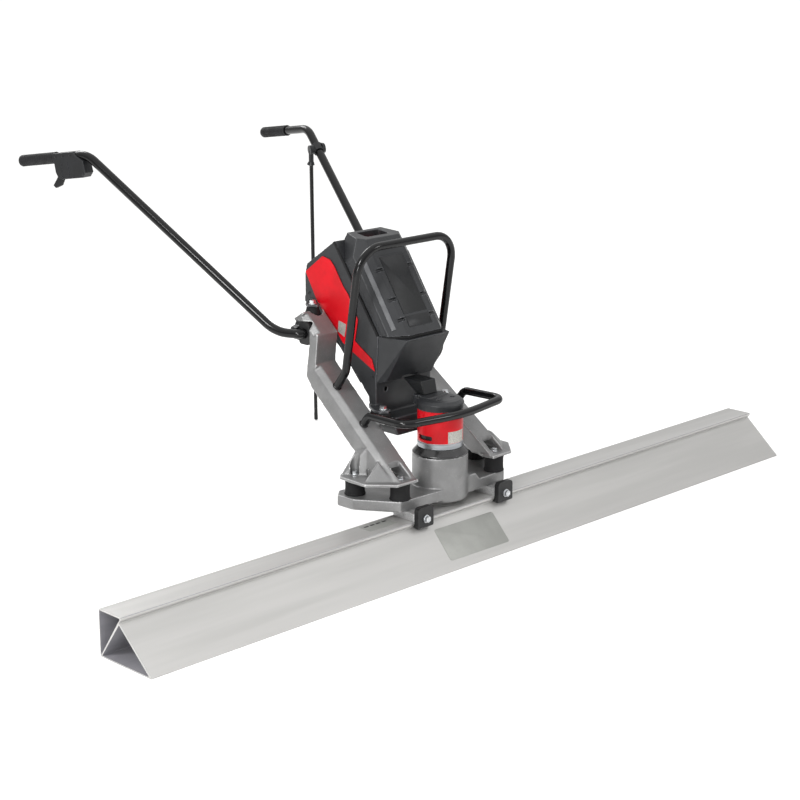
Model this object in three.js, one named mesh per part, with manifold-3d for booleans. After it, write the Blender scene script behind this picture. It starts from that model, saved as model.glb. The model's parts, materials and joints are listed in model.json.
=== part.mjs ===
// Battery vibrating screed for wet concrete: a hollow aluminium board carries a cast base with a
// vertical eccentric exciter, and two sprung legs hold the battery power head and the handlebars.
// Millimetres. +X runs along the board, +Y points to the operator, +Z is up. The origin is on the
// board's sole, under the exciter's mid-plane and half way across the sole.
import * as THREE from "three";
import { mergeVertices } from "three/addons/utils/BufferGeometryUtils.js";
import { ConvexGeometry } from "three/addons/geometries/ConvexGeometry.js";
import Module from "manifold-3d";

const wasm = await Module();
wasm.setup();

// ---------------------------------------------------------------- driving dimensions

const GAP = 0.3; // between pieces that touch

const BOARD = {
  length: 2438, // an 8 ft screed board
  middleX: 94, // the machine is clamped off the board's middle
  soleHalf: 96,
  height: 117,
  wall: 3,
  webWall: 3,
  lipY: 13,
  notch: [19.5, 102], // where the sloping front face meets the lip
  lipRadius: 4,
};

const BASE = {
  wingBottom: 139,
  wingTop: 168,
  rampTop: 187,
  frontY: 45,
  wall: 7,
  boreFloor: 160,
};

const EXCITER = {
  y: 96,
  radius: 75,
  bottom: 130,
  top: 252,
  collarTop: 273,
  ringTop: 289,
  motorTop: 376,
  capTop: 403,
  motorRadius: 61,
  shaftRadius: 12,
  bearingRadius: 26,
  sides: 32,
};

const ISOLATOR = {
  radius: 28,
  bottom: BASE.wingTop + GAP,
  top: 212.7,
  front: [181, 66],
  rear: [232, 182],
};

const LEG = {
  footBottom: 213,
  footThick: 8,
  wall: 6,
  width: 74,
  depth: 57,
  outerFootX: 219,
  outerTopX: 192,
  footFront: [37, 216],
  knee: [374, 475.5],
  shoulder: [365, 556],
  top: [424, 611],
  padTop: 594,
  chamfer: 14,
};

const TUBE = { guardRadius: 11, handleRadius: 12.5, wall: 2, sides: 12 };

const MOUNT = {
  lower: [118, 192],
  lowerBottom: 351,
  lowerTop: 364,
  upper: [142, 437],
  upperTop: 616,
  earThick: 8,
  rubberRadius: 20,
};

const HANDLE = {
  pivot: [420, 553],
  stubInnerX: 152,
  elbow: [204, 420, 553],
  heel: [229.3, 490.1, 552],
  shoulder: [411, 1057, 991],
  end: [453.5, 1304, 954.5],
  gripRadius: 16.5,
  gripLength: 134,
};

const HEAD = { halfWidth: 104, wall: 4, panel: 3 };

// How steeply the battery leans, up and to the rear.
const BATTERY_TILT = THREE.MathUtils.degToRad(56);

const KICKSTAND = {
  clipZ: 938,
  offset: 22,
  rodRadius: 6,
  foot: [578, 1218, 2.4],
};

// ---------------------------------------------------------------- materials

function paint(color, roughness, metalness) {
  return new THREE.MeshStandardMaterial({ color, roughness, metalness });
}

const MATERIAL = {
  aluminium: paint("#d3d2ce", 0.38, 0.9),
  casting: paint("#8f908f", 0.45, 0.6),
  black: paint("#141415", 0.25, 0.3),
  plastic: paint("#48494b", 0.6, 0),
  darkPlastic: paint("#2c2d2f", 0.6, 0),
  red: paint("#d0121f", 0.4, 0),
  rubber: paint("#232425", 0.85, 0),
  zinc: paint("#c6c8ca", 0.3, 0.9),
  steel: paint("#8b8e92", 0.35, 0.9),
  copper: paint("#a8643a", 0.4, 0.8),
  board: paint("#1f5a35", 0.5, 0.1),
};

// ---------------------------------------------------------------- geometry helpers

function vec(x, y, z) {
  return new THREE.Vector3(x, y, z);
}

// A closed three.js geometry as a manifold-3d solid.
function solid(geometry) {
  const bare = geometry.clone();
  bare.deleteAttribute("normal");
  bare.deleteAttribute("uv");
  const merged = mergeVertices(bare, 1e-3);
  return new wasm.Manifold(
    new wasm.Mesh({
      numProp: 3,
      vertProperties: merged.attributes.position.array,
      triVerts: new Uint32Array(merged.index.array),
    }),
  );
}

// A manifold-3d solid as a three.js geometry.
function geometryOf(body) {
  const mesh = body.getMesh();
  const geometry = new THREE.BufferGeometry();
  geometry.setAttribute("position", new THREE.BufferAttribute(mesh.vertProperties, 3));
  geometry.setIndex(new THREE.BufferAttribute(mesh.triVerts, 1));
  geometry.computeVertexNormals();
  return geometry;
}

function join(first, ...others) {
  return geometryOf(others.reduce((sum, next) => sum.add(solid(next)), solid(first)));
}

function cut(first, ...others) {
  return geometryOf(others.reduce((rest, next) => rest.subtract(solid(next)), solid(first)));
}

function common(first, second) {
  return geometryOf(solid(first).intersect(solid(second)));
}

// Local x, y and z of an extrusion on the world's axes, so that an outline drawn across AXIS is
// swept along it.
const SWEEP_BASIS = {
  x: [vec(0, 1, 0), vec(0, 0, 1), vec(1, 0, 0)],
  y: [vec(1, 0, 0), vec(0, 0, 1), vec(0, -1, 0)],
  z: [vec(1, 0, 0), vec(0, 1, 0), vec(0, 0, 1)],
};

// A prism: an outline of the other two coordinates, swept along AXIS between two places.
function prism(axis, outline, from, to, holes = []) {
  const shape = new THREE.Shape(outline.map(([a, b]) => new THREE.Vector2(a, b)));
  shape.holes = holes.map((hole) => new THREE.Path(hole.map(([a, b]) => new THREE.Vector2(a, b))));
  const geometry = new THREE.ExtrudeGeometry(shape, { depth: to - from, bevelEnabled: false });
  geometry.translate(0, 0, axis === "y" ? -to : from);
  return geometry.applyMatrix4(new THREE.Matrix4().makeBasis(...SWEEP_BASIS[axis]));
}

function block(x0, x1, y0, y1, z0, z1) {
  const geometry = new THREE.BoxGeometry(x1 - x0, y1 - y0, z1 - z0);
  return geometry.translate((x0 + x1) / 2, (y0 + y1) / 2, (z0 + z1) / 2);
}

function cylinderBetween(start, end, radius, sides = 24, endRadius = radius) {
  const span = end.clone().sub(start);
  const geometry = new THREE.CylinderGeometry(endRadius, radius, span.length(), sides);
  const turn = new THREE.Quaternion().setFromUnitVectors(vec(0, 1, 0), span.normalize());
  geometry.applyQuaternion(turn);
  const middle = start.clone().add(end).multiplyScalar(0.5);
  return geometry.translate(middle.x, middle.y, middle.z);
}

function upright(x, y, z0, z1, radius, sides = 24, topRadius = radius) {
  return cylinderBetween(vec(x, y, z0), vec(x, y, z1), radius, sides, topRadius);
}

// A turned piece about a vertical axis: its profile runs up the outside and closes on itself.
function turned(profile, x, y, sides = EXCITER.sides) {
  const closed = [...profile, profile[0]].map(([r, z]) => new THREE.Vector2(r, z));
  return new THREE.LatheGeometry(closed, sides).rotateX(Math.PI / 2).translate(x, y, 0);
}

function hull(points) {
  return new ConvexGeometry(points.map((p) => vec(...p)));
}

// A convex outline drawn inwards by a distance for each side; side i runs from point i to i + 1,
// and the outline runs anticlockwise.
function inset(outline, distances) {
  const amount = (i) => (Array.isArray(distances) ? distances[i] : distances);
  const lines = outline.map(([ax, ay], i) => {
    const [bx, by] = outline[(i + 1) % outline.length];
    const length = Math.hypot(bx - ax, by - ay);
    const normal = [-(by - ay) / length, (bx - ax) / length];
    return { normal, offset: normal[0] * ax + normal[1] * ay + amount(i) };
  });
  return outline.map((_, i) => {
    const before = lines[(i + outline.length - 1) % outline.length];
    const after = lines[i];
    const det = before.normal[0] * after.normal[1] - before.normal[1] * after.normal[0];
    return [
      (before.offset * after.normal[1] - after.offset * before.normal[1]) / det,
      (after.offset * before.normal[0] - before.offset * after.normal[0]) / det,
    ];
  });
}

// Points on an arc, from one angle to another in degrees.
function arc(cx, cy, radius, from, to, steps) {
  return Array.from({ length: steps + 1 }, (_, i) => {
    const angle = THREE.MathUtils.degToRad(from + ((to - from) * i) / steps);
    return [cx + radius * Math.cos(angle), cy + radius * Math.sin(angle)];
  });
}

function roundedBox(x0, x1, y0, y1, radius, steps = 3) {
  return [
    ...arc(x0 + radius, y0 + radius, radius, 180, 270, steps),
    ...arc(x1 - radius, y0 + radius, radius, 270, 360, steps),
    ...arc(x1 - radius, y1 - radius, radius, 0, 90, steps),
    ...arc(x0 + radius, y1 - radius, radius, 90, 180, steps),
  ];
}

// A tube's centre line: straight runs joined by round bends. Stations lie only where it bends.
class BentPath extends THREE.Curve {
  constructor(corners, radii, degreesPerStep = 18) {
    super();
    this.stations = [corners[0]];
    for (let i = 1; i < corners.length - 1; i += 1) {
      const around = corners.slice(i - 1, i + 2);
      this.stations.push(...this.bend(...around, radii[i - 1], degreesPerStep));
    }
    this.stations.push(corners.at(-1));
  }

  bend(before, corner, after, radius, degreesPerStep) {
    const back = before.clone().sub(corner).normalize();
    const ahead = after.clone().sub(corner).normalize();
    const half = back.angleTo(ahead) / 2;
    const middle = back.clone().add(ahead).normalize();
    const centre = corner.clone().addScaledVector(middle, radius / Math.sin(half));
    const start = corner.clone().addScaledVector(back, radius / Math.tan(half));
    const turn = Math.PI - 2 * half;
    const steps = Math.max(2, Math.ceil(THREE.MathUtils.radToDeg(turn) / degreesPerStep));
    const axis = ahead.clone().cross(back).normalize();
    return Array.from({ length: steps + 1 }, (_, i) =>
      start.clone().sub(centre).applyAxisAngle(axis, (turn * i) / steps).add(centre),
    );
  }

  getPoint(t, target = vec(0, 0, 0)) {
    const place = t * (this.stations.length - 1);
    const i = Math.min(Math.floor(place), this.stations.length - 2);
    return target.lerpVectors(this.stations[i], this.stations[i + 1], place - i);
  }

  getPointAt(u, target) {
    return this.getPoint(u, target);
  }

  getTangentAt(u, target = vec(0, 0, 0)) {
    const last = this.stations.length - 1;
    const i = Math.round(u * last);
    const before = this.stations[Math.max(i - 1, 0)];
    const here = this.stations[i];
    const after = this.stations[Math.min(i + 1, last)];
    const into = here.clone().sub(before).normalize();
    const out = after.clone().sub(here).normalize();
    return target.copy(into).add(out).normalize();
  }
}

function circlePoints(radius, sides) {
  return arc(0, 0, radius, 0, 360 - 360 / sides, sides - 1);
}

// A round tube along a bent path, hollow where it has a wall.
function tube(path, radius, wall = 0, sides = TUBE.sides) {
  const shape = new THREE.Shape(circlePoints(radius, sides).map(([a, b]) => new THREE.Vector2(a, b)));
  if (wall) {
    const bore = circlePoints(radius - wall, sides - 4).map(([a, b]) => new THREE.Vector2(a, b));
    shape.holes.push(new THREE.Path(bore));
  }
  return new THREE.ExtrudeGeometry(shape, { steps: path.stations.length - 1, extrudePath: path });
}

// A hexagon-head screw: head and washer at the start, shank towards the end.
function screw(headAt, direction, headRadius, shankRadius, shankLength) {
  const along = (distance) => headAt.clone().addScaledVector(direction, distance);
  const washer = cylinderBetween(along(0), along(2), headRadius * 1.2, 14);
  const head = cylinderBetween(along(-headRadius * 0.8), along(0.5), headRadius, 6);
  const shank = cylinderBetween(along(1), along(shankLength), shankRadius, 8);
  return join(washer, head, shank);
}

const object = new THREE.Group();

function add(name, geometry, material) {
  const mesh = new THREE.Mesh(geometry, material);
  mesh.name = name;
  object.add(mesh);
  return mesh;
}

// The same piece on both sides of the machine: as drawn on the left (-X), and its mirror copy.
function addPair(name, geometry, material) {
  add(`${name}_left`, geometry, material);
  add(`${name}_right`, geometry, material).scale.x = -1;
}

// ---------------------------------------------------------------- board

function boardSection() {
  const { soleHalf, height, lipY, notch, lipRadius } = BOARD;
  return [
    [-soleHalf, 0],
    [soleHalf, 0],
    [soleHalf, height],
    ...arc(lipY + lipRadius, height - lipRadius, lipRadius, 90, 180, 3),
    notch,
  ];
}

function boardCells() {
  const { soleHalf, height, lipY, notch, wall, webWall } = BOARD;
  const web = webWall / 2;
  const upper = [[soleHalf, 0], [soleHalf, height], [lipY, height], notch];
  const lower = [[-soleHalf, 0], [soleHalf, 0], notch];
  return [inset(upper, [wall, wall, wall, web]), inset(lower, [wall, web, wall])];
}

function addBoard() {
  const { length, middleX } = BOARD;
  const [from, to] = [middleX - length / 2, middleX + length / 2];
  add("screed_board", prism("x", boardSection(), from, to, boardCells()), MATERIAL.aluminium);
}

// ---------------------------------------------------------------- base casting and its clamps

const WING_OUTLINE = [
  [-46, 37],
  [-200, BASE.frontY],
  [-271, 150],
  [-273, 206],
  [-243, 232],
  [-186, 226],
  [-62, 138],
];

// The right-hand copy of an outline in x and y, kept anticlockwise.
function mirrored(outline) {
  return outline.map(([x, y]) => [-x, y]).reverse();
}

function clockwise(outline) {
  return [...outline].reverse();
}

function wing(side) {
  const outline = clockwise(WING_OUTLINE);
  const plan = side < 0 ? outline : mirrored(outline);
  const plate = prism("z", plan, BASE.wingBottom, BASE.wingTop);
  const pocket = prism("z", inset(plan, BASE.wall), BASE.wingBottom - 1, BASE.wingTop - BASE.wall);
  const boss = ([x, y]) => upright(side * x, y, BASE.wingBottom, BASE.wingTop - 1, 13);
  return join(cut(plate, pocket), boss(ISOLATOR.front), boss(ISOLATOR.rear));
}

// A web that climbs along the wing's front edge to the exciter housing.
function ramp(side) {
  const profile = [
    [44, BASE.wingTop - 4],
    [104, BASE.wingTop - 4],
    [98, BASE.wingTop],
    [80, BASE.rampTop],
    [44, BASE.rampTop],
  ].map(([x, z]) => [side * x, z]);
  const plan = [[-40, 36], [-110, 40.5], [-110, 51], [-72, 58], [-50, 80]].map(([x, y]) => [-side * x, y]);
  const wall = prism("z", side < 0 ? mirrored(plan) : plan, BASE.wingTop - 4, BASE.rampTop);
  return common(wall, prism("y", side < 0 ? clockwise(profile) : profile, 0, 120));
}

function addBase() {
  const { y, radius, bottom, top, bearingRadius } = EXCITER;
  const can = turned([[0, bottom], [radius - 3, bottom], [radius, bottom + 3], [radius, top], [0, top]], 0, y);
  const body = join(can, wing(-1), wing(1), ramp(-1), ramp(1));
  const bore = upright(0, y, BASE.boreFloor, top + 1, radius - 9, EXCITER.sides);
  const bearingSeat = upright(0, y, BASE.boreFloor - 18, BASE.boreFloor + 1, bearingRadius + GAP, 24);
  add("base_casting", cut(body, bore, bearingSeat), MATERIAL.casting);
}

const CLAMP = { x: 154, half: 28, boltZ: 124, jawFront: -3, jawTop: 156 };

function addClamps() {
  const { x, half, boltZ, jawFront, jawTop } = CLAMP;
  const { height, lipY, notch } = BOARD;
  const sole = roundedBox(-x - half, -x + half, lipY + 0.5, 92, 4);
  const foot = prism("z", sole, height + GAP, BASE.wingBottom - GAP);
  const footHole = cylinderBetween(vec(-x, 0, boltZ), vec(-x, 60, boltZ), 5.6);
  addPair("clamp_foot", cut(foot, footHole), MATERIAL.casting);
  const hookProfile = [
    [jawFront, notch[1]],
    [jawFront + 8, notch[1] - 5],
    [notch[0] - 4, notch[1] - 2.3],
    [notch[0] - 1.1, notch[1] + 0.6],
    [lipY - 0.4, height - BOARD.lipRadius],
    [lipY - 0.4, jawTop],
    [jawFront, jawTop],
  ];
  const front = roundedBox(-x - half, -x + half, notch[1] - 6, jawTop, 10);
  const face = prism("y", front, jawFront - 1, notch[0] + 1);
  const jaw = common(prism("x", hookProfile, -x - half, -x + half), face);
  const hole = cylinderBetween(vec(-x, jawFront - 5, boltZ), vec(-x, 40, boltZ), 5.6);
  addPair("clamp_jaw", cut(jaw, hole), MATERIAL.black);
  addPair("clamp_bolt", screw(vec(-x, jawFront - 2.3, boltZ), vec(0, 1, 0), 9, 5, 50), MATERIAL.zinc);
}

// ---------------------------------------------------------------- exciter and its motor

function addExciter() {
  const { y, radius, top, collarTop, ringTop, motorRadius, bearingRadius, shaftRadius } = EXCITER;
  const seat = bearingRadius + GAP;
  const collar = [
    [seat, top + GAP],
    [radius, top + GAP],
    [radius, top + 5],
    [motorRadius + 1, collarTop - GAP],
    [16, collarTop - GAP],
    [16, collarTop - 5],
    [seat, collarTop - 5],
  ];
  add("exciter_collar", turned(collar, 0, y), MATERIAL.black);
  const ring = [
    [16, collarTop],
    [motorRadius, collarTop],
    [motorRadius, ringTop - GAP],
    [46, ringTop - GAP],
    [46, ringTop - 8],
    [16, ringTop - 8],
  ];
  add("motor_ring", turned(ring, 0, y), MATERIAL.aluminium);
  const [boreRadius, width] = [shaftRadius + GAP, 15];
  const race = (z) => [[boreRadius, z], [bearingRadius, z], [bearingRadius, z + width], [boreRadius, z + width]];
  const bearing = (z) => turned(race(z), 0, y, 24);
  add("bearing_lower", bearing(BASE.boreFloor - 17), MATERIAL.steel);
  add("bearing_upper", bearing(top + 0.8), MATERIAL.steel);
  addShaft();
}

function addShaft() {
  const { y, shaftRadius } = EXCITER;
  const low = BASE.boreFloor - 17.5;
  add("exciter_shaft", upright(0, y, low, 371, shaftRadius), MATERIAL.steel);
  const half = [...arc(0, y, 54, 180, 360, 12), [16, y], ...arc(0, y, 16, 0, 180, 6), [-16, y]];
  const bore = upright(0, y, 160, 240, shaftRadius + GAP);
  const weight = join(prism("z", half.slice(0, -1), 170, 226), upright(0, y, 170, 226, 20));
  add("eccentric_weight", cut(weight, bore), MATERIAL.steel);
}

function addMotor() {
  const { y, ringTop, motorTop, motorRadius, shaftRadius } = EXCITER;
  const inner = motorRadius - 4;
  const top = motorTop - GAP;
  const shell = turned([[inner, ringTop], [motorRadius, ringTop], [motorRadius, top], [inner, top]], 0, y);
  const slot = (angle) => {
    const cutter = prism("y", roundedBox(-24, 24, 296, 309, 4, 2), 40, 80);
    return cutter.rotateZ(THREE.MathUtils.degToRad(angle)).translate(0, y, 0);
  };
  add("motor_housing", cut(shell, slot(90), slot(-90)), MATERIAL.red);
  const rotorRadius = 33;
  const rotor = [[shaftRadius + GAP, 298], [rotorRadius, 298], [rotorRadius, 358], [shaftRadius + GAP, 358]];
  add("rotor", turned(rotor, 0, y, 24), MATERIAL.steel);
  const stator = [[rotorRadius + 1, 296], [inner - 0.6, 296], [inner - 0.6, 362], [rotorRadius + 1, 362]];
  add("stator", turned(stator, 0, y, 24), MATERIAL.copper);
  addCap();
}

function addCap() {
  const { y, motorTop, capTop, motorRadius } = EXCITER;
  const r = motorRadius + 3;
  const edge = [[r, motorTop], [r, motorTop + 17], [r - 9, capTop - 2], [r - 22, capTop]];
  const dome = turned([[0, motorTop], ...edge, [0, capTop]], 0, y);
  const shoulder = prism("z", roundedBox(-40, 40, y + 6, y + r + 4, 8, 2), motorTop + 6, capTop + 2);
  const inner = motorRadius - 4;
  const room = [[0, motorTop - 1], [inner, motorTop - 1], [inner, capTop - 8], [0, capTop - 8]];
  const hollow = turned(room, 0, y);
  add("motor_cap", cut(join(dome, shoulder), hollow), MATERIAL.darkPlastic);
  const ductSide = [[24, y + 34, capTop + 2.3], [24, y + 66, capTop + 2.3], [28, y + 46, 441], [28, y + 112, 441]];
  const duct = hull(ductSide.flatMap(([x, ...rest]) => [[-x, ...rest], [x, ...rest]]));
  add("cable_duct", duct, MATERIAL.plastic);
}

// ---------------------------------------------------------------- sprung legs

function addIsolators() {
  for (const [name, [x, y]] of Object.entries({ front: ISOLATOR.front, rear: ISOLATOR.rear })) {
    const { radius, bottom, top } = ISOLATOR;
    const rubber = turned([[0, bottom], [radius, bottom], [radius, top], [0, top]], -x, y, 24);
    addPair(`isolator_${name}`, rubber, MATERIAL.rubber);
    const headAt = vec(-x, y, LEG.footBottom + LEG.footThick + 2.3);
    addPair(`foot_bolt_${name}`, screw(headAt, vec(0, 0, -1), 8, 4, 9.5), MATERIAL.zinc);
  }
}

// Unit vectors along the leg and out of its front face, in y and z.
function legDirections() {
  const [[y0, z0], [y1, z1]] = [LEG.footFront, LEG.knee];
  const length = Math.hypot(y1 - y0, z1 - z0);
  const along = [(y1 - y0) / length, (z1 - z0) / length];
  return { length, along, out: [-along[1], along[0]] };
}

function onLeg(distance, out) {
  const directions = legDirections();
  return [
    LEG.footFront[0] + directions.along[0] * distance + directions.out[0] * out,
    LEG.footFront[1] + directions.along[1] * distance + directions.out[1] * out,
  ];
}

// The leg's outline from the side, in y and z, and the same drawn in by the wall.
const LEG_SIDE = [
  onLeg(26, -20),
  onLeg(60, -LEG.depth + 8),
  onLeg(200, -LEG.depth),
  onLeg(392, -LEG.depth),
  [408, 440],
  [400, 520],
  [403, 541],
  [459, 588],
  LEG.top,
  LEG.shoulder,
  LEG.knee,
  LEG.footFront,
];

// How far the leg leans in, to the machine's middle, at a height.
function lean(z) {
  const share = Math.min(Math.max((z - LEG.footBottom) / (LEG.knee[1] - LEG.footBottom), 0), 1);
  return (LEG.outerFootX - LEG.outerTopX) * share;
}

// Shifts every point by the lean at its height.
function leaning(geometry) {
  const place = geometry.attributes.position;
  for (let i = 0; i < place.count; i += 1) {
    place.setX(i, place.getX(i) + lean(place.getZ(i)));
  }
  return geometry;
}

// The channel that opens to the rear: its chamfered outer corner faces the front.
function legChannel() {
  const [outer, inner] = [-LEG.outerFootX, -LEG.outerFootX + LEG.width];
  const side = [...LEG_SIDE].reverse();
  const shell = prism("x", clockwise(side), outer, inner);
  const { wall } = LEG;
  const front = [LEG.footFront, LEG.knee, LEG.shoulder, LEG.top];
  const back = [[520, 600], [520, 300], [300, 130], [60, 130]];
  const shoulder = [LEG.shoulder[0] + wall, LEG.shoulder[1] - 3];
  const inside = [onLeg(-10, -wall * 2.2), onLeg(432, -wall * 1.1), shoulder, [LEG.top[0] + 4, LEG.top[1] - 8.5]];
  const hollow = prism("x", clockwise([...inside, [470, 612], ...back]), outer + wall, inner - wall);
  const corner = (index, size) => {
    const [[ya, za], [yb, zb]] = [front[index], front[index + 1]];
    const length = Math.hypot(yb - ya, zb - za);
    const [ty, tz] = [(yb - ya) / length, (zb - za) / length];
    const point = (y, z, s, out, x) => [x, y + ty * s - tz * out, z + tz * s + ty * out];
    const ends = [[ya, za, 6], [yb, zb, -6]];
    return hull(
      ends.flatMap(([y, z, s]) => [
        point(y, z, s, 1, outer - 1),
        point(y, z, s, 1, outer + size + 1),
        point(y, z, s, -size - 1, outer - 1),
      ]),
    );
  };
  const { chamfer } = LEG;
  const room = cut(hollow, corner(0, chamfer + 9), corner(2, chamfer + 9));
  return cut(shell, room, corner(0, chamfer), corner(2, chamfer));
}

// The sole of the leg, with the gussets that run down to it from the channel.
function legFoot() {
  const { footBottom, footThick, outerFootX } = LEG;
  const plan = [[-145, 35], [-138, 70], [-186, 214], [-256, 212], [-274, 196], [-277, 99], [-219, 36]];
  const plate = prism("z", clockwise(plan), footBottom, footBottom + footThick);
  const gusset = hull([
    [-outerFootX + 1, 60, 214], [-274, 112, 214], [-266, 112, 220], [-246, 112, 214],
    [-outerFootX + 2, 108, 262], [-outerFootX + 6, 60, 222], [-outerFootX + 6, 108, 214], [-outerFootX + 6, 116, 266],
  ]);
  const fin = hull([
    [-219, 206, 214], [-213, 206, 214], [-219, 196, 278], [-213, 196, 278],
    [-262, 209, 214], [-262, 203, 214], [-213, 150, 214], [-213, 160, 290], [-219, 150, 214],
  ]);
  return join(plate, gusset, fin);
}

function addLegs() {
  const [mx, my] = MOUNT.lower;
  const [ux, uy] = MOUNT.upper;
  const lugTop = MOUNT.lowerBottom - GAP;
  const lug = prism("z", [[-136, 172], [-98, 172], [-96, 212], [-124, 250], [-136, 250]], lugTop - 14, lugTop);
  const pad = upright(-ux, uy, LEG.padTop - 8, LEG.padTop, 25, 24);
  const padRoom = upright(-ux, uy, LEG.padTop, LEG.padTop + 60, 27, 24);
  const channel = leaning(legChannel());
  const holes = [ISOLATOR.front, ISOLATOR.rear].map(([x, y]) =>
    upright(-x, y, LEG.footBottom - 1, LEG.footBottom + 9, 4.6, 12),
  );
  const boltRooms = [[ISOLATOR.front, 15], [ISOLATOR.rear, 13]].map(([[x, y], radius]) =>
    upright(-x, y, LEG.footBottom + LEG.footThick, 300, radius, 18),
  );
  const lugHole = upright(-mx, my, lugTop - 20, lugTop + 1, 5.6, 12);
  const padHole = upright(-ux, uy, 550, 600, 5.6, 12);
  const pocket = hull([
    [-196, 46, 221], [-160, 46, 221], [-196, 92, 221], [-160, 92, 221],
    [-200, 40, 240], [-156, 40, 240], [-200, 98, 290], [-156, 98, 290],
  ]);
  const body = cut(join(channel, legFoot()), pocket, ...boltRooms);
  const clampRoom = block(-200, -140, 398, 450, 520, 586);
  const whole = cut(join(body, lug, pad), padRoom, ...holes, lugHole, padHole);
  addPair("leg", cut(whole, clampRoom), MATERIAL.casting);
}

// ---------------------------------------------------------------- guard tubes

function bothSides(corners) {
  const left = corners.map(([x, y, z]) => vec(-x, y, z));
  const right = [...corners].reverse().map(([x, y, z]) => vec(x, y, z));
  return [...left, ...right];
}

function addGuardTubes() {
  const rise = (x, distance, out) => [x, ...onLeg(distance, out)];
  const rollCorners = bothSides([rise(177, 341, GAP + 0.2), rise(177, 341, 58), [177, 217, 805]]);
  add("roll_bar", tube(new BentPath(rollCorners, [55, 74, 74, 55]), TUBE.guardRadius), MATERIAL.black);
  const bumperCorners = bothSides([rise(182, 207, GAP + 0.2), rise(182, 207, 36), [188, 43, 373]]);
  const middle = vec(0, 11, 372);
  const corners = [...bumperCorners.slice(0, 3), middle, ...bumperCorners.slice(3)];
  add("bumper_bar", tube(new BentPath(corners, [26, 34, 420, 34, 26]), TUBE.guardRadius), MATERIAL.black);
}

// ---------------------------------------------------------------- handlebars

function leftPoint([x, y, z]) {
  return vec(-x, y, z);
}

function addHandlebars() {
  const { pivot, stubInnerX, elbow, heel, shoulder, end } = HANDLE;
  const start = vec(-stubInnerX, pivot[0], pivot[1]);
  const corners = [start, leftPoint(elbow), leftPoint(heel), leftPoint(shoulder), leftPoint(end)];
  addPair("handlebar", tube(new BentPath(corners, [18, 110, 70]), TUBE.handleRadius, TUBE.wall), MATERIAL.black);
  addGrips();
  addHandleClamps();
}

function addGrips() {
  const end = leftPoint(HANDLE.end);
  const back = leftPoint(HANDLE.shoulder).sub(end).normalize();
  const inner = end.clone().addScaledVector(back, HANDLE.gripLength);
  const outer = end.clone().addScaledVector(back, -5);
  const barrel = cylinderBetween(inner, outer, HANDLE.gripRadius, 16);
  const tip = end.clone().addScaledVector(back, -9);
  const nose = cylinderBetween(outer, tip, HANDLE.gripRadius, 16, HANDLE.gripRadius - 5);
  const boreStart = inner.clone().addScaledVector(back, 5);
  const bore = cylinderBetween(boreStart, end.clone().addScaledVector(back, -GAP), TUBE.handleRadius + GAP + 0.1, 12);
  addPair("grip", cut(join(barrel, nose), bore), MATERIAL.rubber);
}

const KNOB = { x: 169, near: 446, far: 470, radius: 28, lobes: 5 };

function addHandleClamps() {
  const [py, pz] = HANDLE.pivot;
  const shell = prism("x", roundedBox(py - 20, py + 21, pz - 31, pz + 31, 9), -190, -154 + 3);
  const bore = cylinderBetween(vec(-195, py, pz), vec(-148, py, pz), TUBE.handleRadius + 0.4, 16);
  const split = block(-195, -140, py + 4, py + 30, pz - 1.5, pz + 1.5);
  addPair("handle_clamp", cut(shell, bore, split), MATERIAL.black);
  const lobe = (angle) => {
    const a = THREE.MathUtils.degToRad(angle);
    const [x, z] = [-KNOB.x + (KNOB.radius - 9) * Math.cos(a), pz + (KNOB.radius - 9) * Math.sin(a)];
    return cylinderBetween(vec(x, KNOB.near + 6, z), vec(x, KNOB.far, z), 9, 12);
  };
  const hub = cylinderBetween(vec(-KNOB.x, KNOB.near, pz), vec(-KNOB.x, KNOB.far, pz), 20, 20);
  const neck = cylinderBetween(vec(-KNOB.x, py + 21 + GAP, pz), vec(-KNOB.x, KNOB.near + 1, pz), 9, 16);
  const lobes = Array.from({ length: KNOB.lobes }, (_, i) => lobe(90 + (360 / KNOB.lobes) * i));
  addPair("handle_knob", join(hub, neck, ...lobes), MATERIAL.rubber);
}

// ---------------------------------------------------------------- switch box and its trigger

// Stands a geometry under the left grip: its y runs out along the grip from the grip's inner end,
// and its z is up across the tube.
function underGrip(geometry) {
  const end = leftPoint(HANDLE.end);
  const along = end.clone().sub(leftPoint(HANDLE.shoulder)).normalize();
  const across = along.clone().cross(vec(0, 0, 1)).normalize();
  const up = across.clone().cross(along);
  const start = end.addScaledVector(along, -HANDLE.gripLength);
  return geometry.applyMatrix4(new THREE.Matrix4().makeBasis(across, along, up).setPosition(start));
}

const SWITCH = { half: 17, pivot: [-12, -42] };

function addSwitch() {
  const { half, pivot } = SWITCH;
  const profile = [
    [-1, 13], [-78, 13], [-82, -10], [-112, -26], [-116, -50],
    [-104, -61], [-24, -61], [-8, -54], [-2, -40], [-1, -16],
  ];
  const shell = underGrip(prism("x", profile, -half, half));
  const path = new BentPath([leftPoint(HANDLE.heel), leftPoint(HANDLE.shoulder), leftPoint(HANDLE.end)], [70]);
  const room = tube(path, TUBE.handleRadius + 0.6);
  const slot = underGrip(block(-6, 6, pivot[0] - 9, 5, -80, pivot[1] + 8));
  add("switch_box", cut(shell, room, slot), MATERIAL.darkPlastic);
  const boss = cylinderBetween(vec(-5, ...pivot), vec(5, ...pivot), 6, 16);
  const bladeSide = [[-16, -44], [-15, -62], [-3, -78], [18, -84], [26, -76], [8, -58], [-7, -40]];
  const blade = prism("x", bladeSide, -5, 5);
  add("trigger_lever", underGrip(join(boss, blade)), MATERIAL.rubber);
}

// ---------------------------------------------------------------- kickstand

// A place on the right handlebar's straight run, and the run's direction.
function onRightBar(z) {
  const [low, high] = [vec(...HANDLE.heel), vec(...HANDLE.shoulder)];
  const share = (z - low.z) / (high.z - low.z);
  return { place: low.clone().lerp(high, share), direction: high.clone().sub(low).normalize() };
}

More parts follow.
